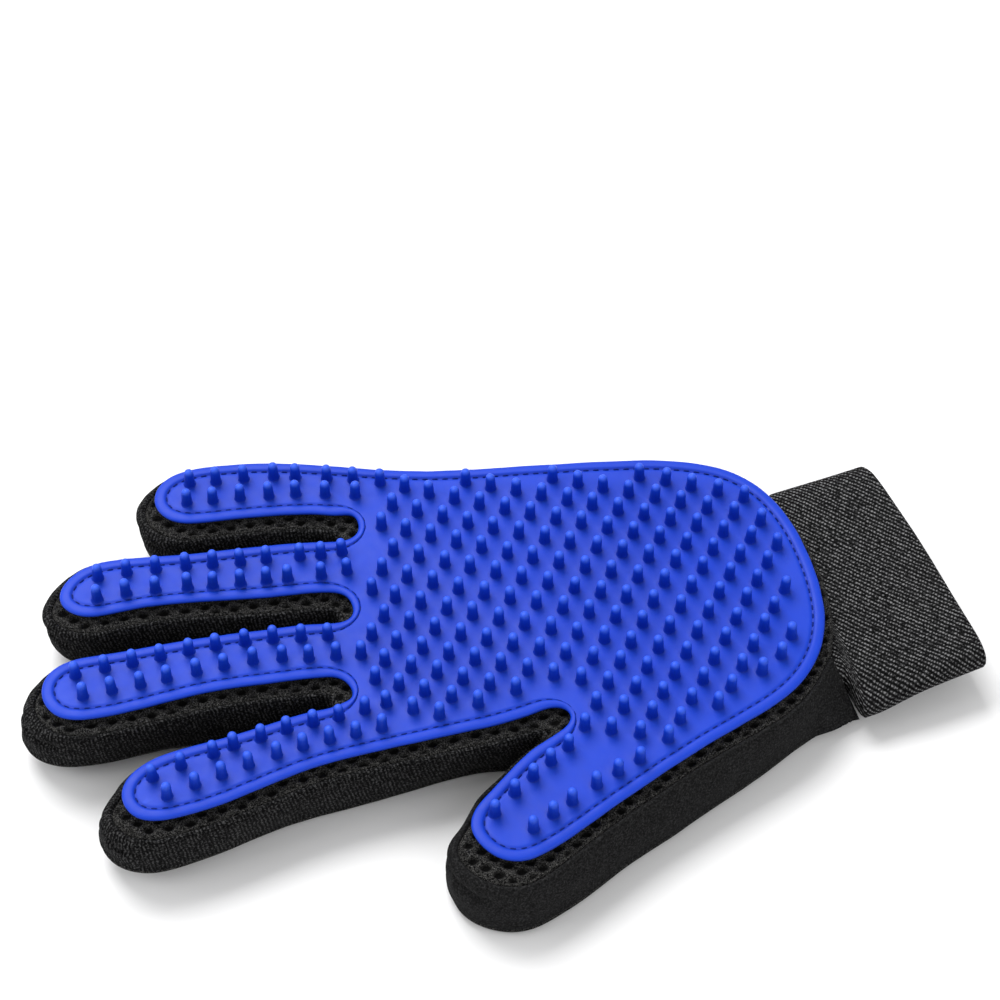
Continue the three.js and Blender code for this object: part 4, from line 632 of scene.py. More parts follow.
def strip_loops():
    """Top edge, foot and top edge lengths of the side strip, running anticlockwise
    from the little finger's hem round the fingers to the thumb's hem."""
    first, last = nearest(top_loop, HEM_LITTLE_TOP), nearest(top_loop, HEM_THUMB_TOP)
    top = np.roll(top_loop, -first, 0)[:(last - first) % len(top_loop) + 1].copy()
    lengths = path_lengths(top)
    back = fine_closed(BACK, 0.4, 0.9)
    first, last = nearest(back, HEM_LITTLE_FOOT), nearest(back, HEM_THUMB_FOOT)
    foot = np.roll(back, -first, 0)[:(last - first) % len(back) + 1]
    # match the two by the ends of the fingers and the crotches between them
    crotches = [(-31.8, 39.0), (-36.9, 15.4), (-42.2, -8.9), (5.1, -28.6), None]
    marks = []
    for name, crotch in zip(("little", "ring", "middle", "index", "thumb"), crotches):
        finger = FINGERS[name]
        marks.append(finger.knuckle + finger.heading * (finger.tip + 6))
        if crotch is not None:
            marks.append(crotch)
    foot_lengths = path_lengths(foot)
    top_marks = [0.0] + [lengths[nearest(top, p)] for p in marks] + [lengths[-1]]
    foot_marks = [0.0] + [foot_lengths[nearest(foot, p)] for p in marks] + [foot_lengths[-1]]
    matched = gauss(np.interp(lengths, top_marks, foot_marks)[:, None], 6, closed=False)[:, 0]
    foot = at_lengths(foot, foot_lengths, matched)
    foot[0], foot[-1] = HEM_LITTLE_FOOT, HEM_THUMB_FOOT
    return top, gauss(foot, 1.5, closed=False), lengths


def back_loop():
    """Back panel outline: the strip's foot, closed by the wrist edge."""
    wrist = np.array([strip_foot[-1], [79.2, -27.0], [78.6, -22.0], [78.2, -10.0],
                      [78.0, 10.0], [77.6, 26.0], [76.8, 31.5], strip_foot[0]])
    loop = closed_resample(np.vstack([strip_foot, open_resample(wrist, 190)[1:-1]]), 0.2)
    # smoothed harder round the two corners
    to_corner = np.minimum(np.hypot(*(loop - strip_foot[-1]).T),
                           np.hypot(*(loop - strip_foot[0]).T))
    corner = bell(to_corner, 6.0)[:, None]
    soft = gauss(loop, 5) * (1 - corner) + gauss(loop, 15) * corner
    return closed_resample(gauss(soft, 3), 0.6)


top_loop = fine_closed(PALM, 0.55)
strip_top, strip_foot, strip_lengths = strip_loops()
back_edge = back_loop()
pad_edge = fine_closed(PAD, 0.6, 0.9)


# ------------------------------------------------------------------ the cloth simulation
def coarse_shell():
    """A closed, coarse skin of the glove: palm panel, side strip and back panel."""
    top = closed_resample(top_loop, 2.6)
    foot = top.copy()
    tree = tree_of(strip_top)
    for i, p in enumerate(top):
        _, k, gap = tree.find((p[0], p[1], 0))
        if gap < 1.0:
            foot[i] = strip_foot[k]
    outward = normals2(top)
    # inset, height, share of the way from top edge to foot
    stations = [(1.9, 17.1, 0), (0.1, 15.6, 0.05), (0.0, 12.9, 0.25), (0.0, 10.2, 0.45),
                (0.0, 7.4, 0.65), (0.1, 4.6, 0.85), (0.3, 1.9, 1.0), (1.4, 0.6, 1.0)]
    rings = []
    for inset, z, t in stations:
        p = top * (1 - t) + foot * t - outward * inset
        rings.append(np.c_[p, z + rise(p) * max(0, (15 - z) / 15)])
    skin = Skin()
    starts = skin.rings(rings, flip=True)
    grid = grid_inside(rings[0][:, :2], 3.4, 2.2)
    skin.fill(rings[0], starts[0], grid, MESH_TOP)
    grid = grid_inside(rings[-1][:, :2], 3.4, 2.2)
    skin.fill(rings[-1], starts[-1], grid, rise(grid) + 0.1, flip=True)
    return skin.arrays()


def pinned(verts):
    """Fabric held by the pad, by the table and at the wrist."""
    plan = verts[:, :2]
    under_pad = ((verts[:, 2] > 16.9) & inside(pad_edge, plan) & (dist(pad_edge, plan) > 1.0))
    on_table = (verts[:, 2] < rise(verts) + 0.4) & (dist(back_edge, plan) > 4.0)
    return under_pad | on_table | (verts[:, 0] > 70)


def simulate_shell():
    """Inflates the coarse shell; gives a tree of its rest points and their shifts."""
    frames, longest_shift = 20, 1.7
    rest, faces = coarse_shell()
    mesh = bpy.data.meshes.new("shell_sim")
    mesh.from_pydata((rest / 1000.0).tolist(), [], faces.tolist())
    shell = bpy.data.objects.new("shell_sim", mesh)
    bpy.context.scene.collection.objects.link(shell)
    group = shell.vertex_groups.new(name="pin")
    group.add([int(i) for i in np.nonzero(pinned(rest))[0]], 1.0, "REPLACE")
    cloth = shell.modifiers.new("cloth", "CLOTH")
    settings = cloth.settings
    settings.quality = 6
    settings.mass = 0.15
    settings.tension_stiffness = 12
    settings.compression_stiffness = 6
    settings.shear_stiffness = 4
    settings.bending_stiffness = 0.25
    settings.vertex_group_mass = "pin"
    settings.pin_stiffness = 40
    settings.use_pressure = True
    settings.uniform_pressure_force = 4.0
    settings.effector_weights.gravity = 0.0
    cloth.collision_settings.use_collision = False
    cloth.collision_settings.use_self_collision = False
    scene = bpy.context.scene
    scene.frame_start, scene.frame_end = 1, frames
    cloth.point_cache.frame_start, cloth.point_cache.frame_end = 1, frames
    for frame in range(1, frames + 1):
        scene.frame_set(frame)
    evaluated = shell.evaluated_get(bpy.context.evaluated_depsgraph_get())
    result = evaluated.to_mesh()
    coords = np.zeros(len(rest) * 3, np.float32)
    result.vertices.foreach_get("co", coords)
    evaluated.to_mesh_clear()
    shift = coords.reshape(-1, 3).astype(float) * 1000.0 - rest
    size = np.linalg.norm(shift, axis=1)
    shift *= (longest_shift * np.tanh(size / longest_shift) / np.maximum(size, 1e-9))[:, None]
    shift[~np.isfinite(shift)] = 0
    scene.frame_set(1)
    bpy.data.objects.remove(shell)
    bpy.data.meshes.remove(mesh)
    return tree_of(rest), shift


shell_tree, shell_shift = simulate_shell()


def puff(points):
    """The simulated shift of the fabric at these points; none if there is no simulation."""
    out = np.zeros_like(points)
    if shell_tree is None:
        return out
    for i, p in enumerate(points):
        near = shell_tree.find_n(p, 7)
        weights = np.array([math.exp(-(gap / 2.4) ** 2) + 1e-6 for _, _, gap in near])
        shifts = shell_shift[[k for _, k, _ in near]]
        out[i] = (weights[:, None] * shifts).sum(0) / weights.sum()
    return out


# ------------------------------------------------------------------ making and splitting pieces
def make_object(name, verts, faces, material, slot, attrs=None, normals=None):
    """Mesh object from the vertices in use; attribute rco keeps their rest place in mm."""
    if normals is None:
        normals = vertex_normals(verts, faces)
    used = np.unique(faces)
    remap = np.full(len(verts), -1, int)
    remap[used] = np.arange(len(used))
    mesh = bpy.data.meshes.new(name)
    mesh.from_pydata((verts[used] / 1000.0).tolist(), [], remap[faces].tolist())
    for key, values in {"rco": verts, **(attrs or {})}.items():
        kind, field = ("FLOAT_VECTOR", "vector") if values.ndim == 2 else ("FLOAT", "value")
        attribute = mesh.attributes.new(key, kind, "POINT")
        attribute.data.foreach_set(field, values[used].astype(np.float32).ravel())
    mesh.materials.append(material)
    mesh.polygons.foreach_set("use_smooth", np.ones(len(mesh.polygons), bool))
    mesh.update()
    mesh.normals_split_custom_set_from_vertices(normals[used].tolist())
    ob = bpy.data.objects.new(name, mesh)
    bpy.context.scene.collection.objects.link(ob)
    return ob


def rigid_piece(name, verts, faces, material, slot, body, replaced=None, **extra):
    """A piece that moves with one body and may stand in for a CAD node."""
    ob = make_object(name, verts, faces, material, slot, **extra)
    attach(ob, body)
    if replaced:
        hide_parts(replaced)


def split_pieces(label, verts, faces, material, slot, attrs=None, groups=None,
                 palm=True, base_nodes=None, replace=True):
    """Cuts one continuous layer into a palm piece and, for each finger, a base and a tip.
    The CAD nodes are named after the label unless base_nodes says otherwise.
    groups gives each triangle's region where a loose part must stay whole."""
    look = dict(attrs=attrs, normals=vertex_normals(verts, faces))
    if groups is None:
        groups = which_finger(verts[faces].mean(1))
    if palm:
        rigid_piece(f"palm_{label}_surface", verts, faces[groups == 0], material, slot,
                    "palm", f"palm_{label}" if replace else None, **look)
    for i, (name, finger) in enumerate(FINGERS.items()):
        parts = (("base", 1 + 2 * i, "palm", finger.knuckle_zone, base_nodes or (label,)),
                 ("tip", 2 + 2 * i, f"{name}_base", finger.middle_zone, (label,)))
        for part, region, parent, zone, nodes in parts:
            chosen = groups == region
            if not chosen.any():
                continue
            ob = make_object(f"{name}_{part}_{label}_surface", verts, faces[chosen], material,
                             slot, **look)
            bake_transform(ob)
            if replace:
                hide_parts(*[f"{name}_{part}_{node}" for node in nodes])


# ------------------------------------------------------------------ materials
class Graph:
    """A material with one Principled shader, and short calls for its nodes.
    Noise scales are per mm of rest place."""

    def __init__(self, name):
        self.material = bpy.data.materials.new(name)
        self.material.use_nodes = True
        self.tree = self.material.node_tree
        self.tree.nodes.clear()
        self.output = self.tree.nodes.new("ShaderNodeOutputMaterial")
        self.shader = self.tree.nodes.new("ShaderNodeBsdfPrincipled")
        self.tree.links.new(self.shader.outputs[0], self.output.inputs[0])

    def feed(self, node, inputs):
        for key, value in inputs.items():
            if isinstance(value, bpy.types.NodeSocket):
                self.tree.links.new(value, node.inputs[key])
            else:
                node.inputs[key].default_value = value

    def node(self, kind, inputs=None, **settings):
        node = self.tree.nodes.new("ShaderNode" + kind)
        for key, value in settings.items():
            setattr(node, key, value)
        self.feed(node, inputs or {})
        return node.outputs

    def finish(self, inputs):
        self.feed(self.shader, inputs)
        return self.material

    def attr(self, name):
        return self.node("Attribute", attribute_name=name)["Vector"]

    def mask(self, name):
        return self.node("Attribute", attribute_name=name)["Fac"]

    def math(self, operation, *values, clamp=False):
        return self.node("Math", dict(enumerate(values)), operation=operation,
                         use_clamp=clamp)[0]

    def add(self, *values, **options):
        return self.math("ADD", *values, **options)

    def sub(self, *values, **options):
        return self.math("SUBTRACT", *values, **options)

    def mul(self, *values, **options):
        return self.math("MULTIPLY", *values, **options)

    def mul_add(self, *values, **options):
        return self.math("MULTIPLY_ADD", *values, **options)

    def sine(self, value):
        return self.math("SINE", value)

    def split(self, vector):
        return self.node("SeparateXYZ", {0: vector})

    def noise(self, vector, scale, detail=2, rough=0.5):
        return self.node("TexNoise", {"Scale": scale, "Detail": detail, "Roughness": rough,
                                      "Vector": vector}, noise_dimensions="3D")["Fac"]

    def voronoi(self, vector, scale):
        return self.node("TexVoronoi", {"Scale": scale, "Vector": vector})["Distance"]

    def ramp(self, value, stops):
        """stops: (position, colour) pairs."""
        out = self.node("ValToRGB", {0: value})
        elements = out[0].node.color_ramp.elements
        while len(elements) < len(stops):
            elements.new(0.5)
        for i, (position, colour) in enumerate(stops):
            elements[i].position = position
            elements[i].color = (*colour, 1)
        return out[0]

    def mix(self, factor, first, second):
        colours = [(*c, 1) if isinstance(c, tuple) else c for c in (first, second)]
        return self.node("Mix", {0: factor, 6: colours[0], 7: colours[1]}, data_type="RGBA")[2]

    def tint(self, mask, amount, colour, towards):
        return self.mix(self.mul(mask, amount), colour, towards)

    def bump(self, height, depth_mm, strength, under=None):
        inputs = {"Strength": strength, "Distance": depth_mm / 1000.0, "Height": height}
        if under is not None:
            inputs["Normal"] = under
        return self.node("Bump", inputs)[0]


def silicone_material():
    g = Graph("blue_silicone")
    rest = g.attr("rco")
    broad = g.noise(rest, scale=0.035, detail=3)
    medium = g.noise(rest, scale=0.35, detail=3)
    fine = g.noise(rest, scale=3.2)
    colour = g.ramp(broad, [(0.25, (0.0015, 0.034, 0.440)), (0.75, (0.0025, 0.042, 0.510))])
    colour = g.tint(medium, 0.35, colour, towards=(0.003, 0.050, 0.56))
    # painted shade: each bristle is darkened to deep blue below z = 24.2 and at its foot, and so is
    # the stitched groove
    z = g.split(rest)[2]
    bristle = g.mask("nub")
    low = g.mul(g.sub(24.2, z), 0.45, clamp=True)
    colour = g.tint(g.mul(bristle, low), 0.50, colour, towards=(0.002, 0.012, 0.23))
    colour = g.tint(g.mask("foot"), 0.45, colour, towards=(0.002, 0.014, 0.24))
    colour = g.tint(g.mask("groove"), 0.50, colour, towards=(0.002, 0.010, 0.20))
    # painted highlight: the bristles' tips, above z = 24, are paler
    tip = g.mul(g.mul(g.sub(z, 24.0), 0.95, clamp=True), bristle)
    colour = g.tint(tip, 0.55, colour, towards=(0.045, 0.135, 0.80))
    # painted shade: the wall under the rim, below z = 19.15, is darkened
    wall = g.mul(g.sub(19.15, z), 1.6, clamp=True)
    colour = g.tint(wall, 0.75, colour, towards=(0.003, 0.008, 0.10))
    # convex edges are paler
    edges = g.mul(g.sub(g.node("NewGeometry")["Pointiness"], 0.53), 6.0, clamp=True)
    colour = g.tint(edges, 0.30, colour, towards=(0.040, 0.11, 0.76))
    grain = g.bump(fine, depth_mm=0.018, strength=0.7)
    return g.finish({
        "Base Color": colour,
        "Roughness": g.mul_add(medium, 0.16, 0.42),
        "Specular IOR Level": 0.24,
        "Subsurface Weight": 0.08,
        "Subsurface Radius": (0.3, 0.5, 1.6),
        "Subsurface Scale": 0.001,
        "Normal": g.bump(medium, depth_mm=0.10, strength=0.5, under=grain),
    })


def mesh_material():
    g = Graph("black_spacer_mesh")
    rest = g.attr("rco")
    # yarn runs along the noise's middle contour, broken up and mixed with round spots
    contour = g.math("ABSOLUTE", g.sub(g.noise(rest, scale=1.9, rough=0.6), 0.5))
    yarn = g.sub(1.0, g.mul(contour, 7.0), clamp=True)
    breakup = g.noise(rest, scale=3.4, rough=0.6)
    spots = g.sub(0.5, g.voronoi(rest, scale=1.9), clamp=True)
    height = g.add(g.mul(yarn, g.mul_add(breakup, 1.1, 0.05)), g.mul(spots, 0.5))
    tone = g.ramp(height, [(0.06, (0.0022, 0.0022, 0.0023)), (0.30, (0.0120, 0.0120, 0.0122)),
                           (0.55, (0.060, 0.059, 0.057)), (0.85, (0.170, 0.167, 0.160))])
    # painted shade: the holes are darkened nearly to black
    holes = g.mul(g.mask("pit"), 0.97, clamp=True)
    tone = g.mix(holes, tone, (0.0006, 0.0006, 0.0007))
    patches = g.noise(rest, scale=0.09)
    return g.finish({
        "Base Color": g.tint(patches, 0.25, tone, towards=(0.011, 0.0105, 0.010)),
        "Roughness": 0.93,
        "Specular IOR Level": 0.06,
        "Sheen Weight": 0.02,
        "Sheen Roughness": 0.5,
        "Sheen Tint": (0.5, 0.5, 0.52, 1),
        "Normal": g.bump(height, depth_mm=0.34, strength=0.9),
    })


def knit_material():
    rib_pitch, loop_pitch = 0.92, 0.62
    g = Graph("black_rib_knit")
    rest = g.attr("rco")
    along, down, ribbed = g.split(g.attr("uvm"))
    # ribs slant with height and wander
    warp = g.add(g.mul(g.noise(rest, scale=0.35), 1.3), g.mul(g.noise(rest, scale=1.5), 0.45))
    across = g.add(g.mul_add(down, -0.22, along), warp)
    ridge = g.math("ABSOLUTE", g.sine(g.mul(across, math.pi / rib_pitch)))
    bend = g.mul(g.sine(g.mul(across, 2 * math.pi / rib_pitch)), 1.5)
    loops = g.sine(g.add(g.mul(down, 2 * math.pi / loop_pitch), bend))
    ribs = g.mul_add(loops, 0.16, ridge)
    fuzz = g.noise(rest, scale=3.4, detail=3, rough=0.7)
    ribs = g.mul(ribs, g.mul_add(g.noise(rest, scale=0.9), 0.9, 0.25))
    height = g.add(g.mul(ribs, g.mul_add(ribbed, 0.55, 0.06)), g.mul(fuzz, 0.75))
    soft_fuzz = g.noise(rest, scale=2.1, detail=1)
    height = g.add(height, g.mul(g.sub(soft_fuzz, 0.5), 1.5))
    rib_tone = g.ramp(height, [
        (0.30, (0.0006, 0.0006, 0.0007)), (0.58, (0.0045, 0.0045, 0.0047)),
        (0.80, (0.0190, 0.0190, 0.0195)), (1.0, (0.060, 0.060, 0.061))])
    fuzz_mix = g.add(g.mul(fuzz, 0.35), g.mul(soft_fuzz, 0.65))
    plain_tone = g.ramp(fuzz_mix, [
        (0.32, (0.0030, 0.0030, 0.0031)), (0.50, (0.0120, 0.0120, 0.0123)),
        (0.68, (0.0340, 0.0340, 0.0350))])
    colour = g.mix(ribbed, plain_tone, rib_tone)
    patches = g.noise(rest, scale=0.07, detail=3)
    return g.finish({
        "Base Color": g.tint(patches, 0.15, colour, towards=(0.015, 0.015, 0.0155)),
        "Roughness": 0.88,
        "Specular IOR Level": 0.035,
        "Sheen Weight": 0.008,
        "Sheen Roughness": 0.45,
        "Sheen Tint": (0.55, 0.55, 0.57, 1),
        "Normal": g.bump(height, depth_mm=0.22, strength=0.8),
    })


def elastic_material():
    slant = math.radians(-48)
    row_pitch, dot_pitch = 1.02, 0.88
    cosine, sine = math.cos(slant), math.sin(slant)
    g = Graph("charcoal_woven_elastic")
    rest = g.attr("rco")
    u, v, _ = g.split(g.attr("uvm"))
    # slanting rows of dots, wandering with two noises
    along = g.add(g.mul(u, cosine), g.mul(v, sine))
    across = g.add(g.mul(u, -sine), g.mul(v, cosine))
    broad, fine = g.noise(rest, scale=0.45), g.noise(rest, scale=1.4)
    along = g.add(g.mul(broad, 1.0), g.mul_add(fine, 0.55, along))
    across = g.add(g.mul(broad, -0.5), g.mul_add(fine, 0.42, across))
    rows = g.mul_add(g.sine(g.mul(across, 2 * math.pi / row_pitch)), 0.5, 0.5)
    row_number = g.math("FLOOR", g.add(g.math("DIVIDE", across, row_pitch), 0.25))
    phase = g.add(g.mul(along, 2 * math.pi / dot_pitch), g.mul(row_number, math.pi * 0.9))
    dots = g.mul_add(g.sine(phase), 0.5, 0.5)
    weave = g.mul(g.math("POWER", rows, 1.1), g.mul_add(dots, 0.55, 0.45))
    uneven = g.sub(g.noise(rest, scale=1.15, rough=0.6), 0.5)
    weave = g.mul(weave, g.mul_add(uneven, 3.2, 0.85, clamp=True))
    fuzz = g.noise(rest, scale=2.1, rough=0.6)
    height = g.mul_add(fuzz, 0.80, g.mul_add(weave, 0.85, -0.06))
    tone = g.ramp(height, [(0.28, (0.0004, 0.0004, 0.0005)), (0.50, (0.0075, 0.0075, 0.0078)),
                           (0.80, (0.055, 0.055, 0.0565)), (1.0, (0.20, 0.20, 0.203))])
    patches = g.noise(rest, scale=0.06)
    return g.finish({
        "Base Color": g.tint(patches, 0.12, tone, towards=(0.018, 0.018, 0.0185)),
        "Roughness": 0.82,
        "Specular IOR Level": 0.03,
        "Sheen Weight": 0.0,
        "Sheen Tint": (0.6, 0.6, 0.62, 1),
        "Normal": g.bump(height, depth_mm=0.22, strength=0.85),
    })


def mottled_material(name, dark, light, inputs, scale=5.0, detail=2, depth_mm=0.06,
                     strength=0.7):
    """One noise drives both the colour and the bump."""
    g = Graph(name)
    mottle = g.noise(g.attr("rco"), scale, detail)
    return g.finish({
        "Base Color": g.ramp(mottle, [(0.3, dark), (0.7, light)]),
        "Normal": g.bump(mottle, depth_mm, strength),
        **inputs,
    })


def loop_material():
    g = Graph("black_loop_tape")
    rest = g.attr("rco")
    fuzz = g.noise(rest, scale=2.2, detail=4, rough=0.75)
    height = g.mul_add(g.voronoi(rest, scale=1.8), 0.8, fuzz)
    return g.finish({
        "Base Color": g.ramp(height, [(0.3, (0.006, 0.006, 0.0065)),
                                      (0.8, (0.030, 0.030, 0.031)), (1.0, (0.06, 0.06, 0.062))]),
        "Roughness": 0.97,
        "Sheen Weight": 0.3,
        "Normal": g.bump(height, depth_mm=0.5, strength=0.9),
    })


SILICONE = silicone_material()
MESH = mesh_material()
KNIT = knit_material()
ELASTIC = elastic_material()
BLUE_THREAD = mottled_material("blue_thread", (0.0015, 0.009, 0.11), (0.003, 0.018, 0.20),
                               {"Roughness": 0.7, "Specular IOR Level": 0.15})
BLACK_THREAD = mottled_material("black_thread", (0.012, 0.012, 0.012), (0.05, 0.05, 0.052),
                                {"Roughness": 0.6})
HOOK_TAPE = mottled_material("black_hook_tape", (0.007, 0.007, 0.0075), (0.020, 0.020, 0.021),
                             {"Roughness": 0.5}, scale=1.8, detail=3, depth_mm=0.1, strength=0.6)
LOOP_TAPE = loop_material()


# ------------------------------------------------------------------ spacer mesh panels
def pits(points, shift=0.0):
    """0 on the yarn, 1 in the middle of a hole: oval holes on a staggered lattice."""
    pitch_x, pitch_y = 4.9, 2.25
    half_x, half_y = 1.42, 1.0
    x, y = points[:, 0] + shift, points[:, 1]
    # gentle bowing of the rows, as knitted cloth has
    x = x + 0.45 * np.sin(y / 9.0) + 0.25 * np.sin(x / 3.7 + y / 5.1)
    y = y + 0.35 * np.sin(x / 13.0) + 0.18 * np.sin(x / 4.3 - y / 3.9)
    best = np.zeros(len(points))
    for step in (-1, 0, 1):
        row = np.floor(y / pitch_y) + step
        stagger = (row % 2) * pitch_x / 2
        centre_x = (np.floor((x - stagger) / pitch_x) + 0.5) * pitch_x + stagger
        centre_y = (row + 0.5) * pitch_y
        a, b = np.abs(x - centre_x) / half_x, np.abs(y - centre_y) / half_y
        radius = (a ** 1.6 + b ** 1.6) ** 1.25
        best = np.maximum(best, 1 - smoothstep((radius - 0.40) / 0.85))
    return best


def build_palm_panel():
    loop = closed_resample(top_loop, 0.6)
    outward = normals2(loop)
    seam = seam_in(loop)
    wrist_drop = wrist_weight(loop) * 0.8
    # inset from the seam, height
    edge = [(0.35, 16.05), (0.05, 16.10), (-0.10, 16.35), (0.0, 16.62), (0.16, 16.82),
            (0.42, 16.97)]
    rings = []
    for k, (inset, z) in enumerate(edge):
        p = gauss(loop - outward * (seam + inset)[:, None], 2.0)
        rings.append(np.c_[p, z + drape(p) - wrist_drop * (5 - k) / 5])
    skin = Skin()
    starts = skin.rings(rings)
    # fine outside the pad, coarse where the pad covers it
    last = rings[-1][:, :2]
    grid = grid_inside(last, 0.46, 0.30)
    grid = grid[~(inside(pad_edge, grid) & (dist(pad_edge, grid) > 1.6))]
    grid = np.vstack([grid, grid_inside(pad_edge, 3.0, 2.6, bounds=last)])
    to_edge, to_pad = dist(last, grid), dist(pad_edge, grid)
    pit = pits(grid) * smoothstep((to_edge - 0.15) / 0.5)
    pit[inside(pad_edge, grid) & (to_pad > 1.2)] = 0
    z = MESH_TOP - 0.50 * np.exp(-to_edge / 0.8) + drape(grid)
    # the cloth is squeezed a little where the pad is sewn on
    z = z - 0.25 * bell(to_pad, 1.2)
    z = z - 0.95 * pit + 0.16 * noise_at(grid, 1.1, 5.0)
    base = skin.fill(last, starts[-1], grid, z)
    # underside
    under = gauss(loop - outward * (seam + 0.8)[:, None], 2.0)
    under_start = skin.add(np.c_[under, MESH_UNDER - 0.1 + drape(under) - wrist_drop])
    coarse = grid_inside(under, 4.0, 2.5, bounds=last)
    skin.fill(under, under_start, coarse, MESH_UNDER + drape(coarse) * 0.8, flip=True)
    skin.faces.append(ring_faces(under_start, 0, len(loop)))
    verts, faces = skin.arrays()
    pit_values = np.zeros(len(verts))
    pit_values[base:under_start] = pit
    upper = verts[:under_start]
    upper += puff(upper) * np.where(inside(pad_edge, upper[:, :2]), 0.0, 1.0)[:, None]
    return verts, faces, pit_values


def build_back_panel():
    loop = back_edge
    outward = normals2(loop)
    # inset, height
    edge = [(1.05, 1.95), (0.60, 1.85), (0.25, 1.45), (0.20, 1.00), (0.45, 0.55), (0.90, 0.28)]
    rings = []
    for inset, z in edge:
        p = loop - outward * inset
        rings.append(np.c_[p, z + rise(p)])
    skin = Skin()
    starts = skin.rings(rings, flip=True)
    last = rings[-1][:, :2]
    grid = grid_inside(last, 0.56, 0)
    to_edge = dist(loop, grid)
    keep = to_edge > 1.2
    grid, to_edge = grid[keep], to_edge[keep]
    pit = pits(grid, 0.4) * smoothstep((to_edge - 1.1) / 0.8)
    z = 0.05 + 0.20 * np.exp(-(to_edge - 0.9) / 1.0) + 0.75 * pit + rise(grid)
    base = skin.fill(last, starts[-1], grid, z, flip=True)
    # the side towards the hand
    under = loop - outward * 1.35
    under_start = skin.add(np.c_[under, BACK_TOP + 0.35 + rise(under)])
    coarse = grid_inside(under, 4.0, 2.5, bounds=last)
    skin.fill(under, under_start, coarse, BACK_TOP + rise(coarse))
    skin.faces.append(ring_faces(0, under_start, len(loop)))
    verts, faces = skin.arrays()
    pit_values = np.zeros(len(verts))
    pit_values[base:under_start] = pit
    shift = puff(verts[:under_start])
    shift[:, 2] = np.maximum(shift[:, 2], -0.02)
    verts[:under_start] += shift
    verts[:, 2] = np.maximum(verts[:, 2], 0.02)
    return verts, faces, pit_values


for label, build_panel in (("mesh", build_palm_panel), ("back", build_back_panel)):
    verts, faces, pit = build_panel()
    # the pit attribute also paints shade into the holes
    split_pieces(label, verts, faces, MESH, "spacer_mesh", {"pit": pit})


# ------------------------------------------------------------------ side strip
def plain_knit(top):
    """1 where the knit is plain, at the thumb and along the palm; 0 between the fingers."""
    x, y = top.T
    along, across = finger_coords(top, FINGERS["thumb"])
    plain = np.maximum(smoothstep((along - 2) / 5) * (np.abs(across) < 21),
                       smoothstep((x - 2) / 6) * (y < -15))
    web = (across > 14) & (along < 22) & (x < 0) & (x > -22) & (y > -40)
    return gauss(np.where(web, 0.0, plain)[:, None], 10, closed=False)[:, 0]


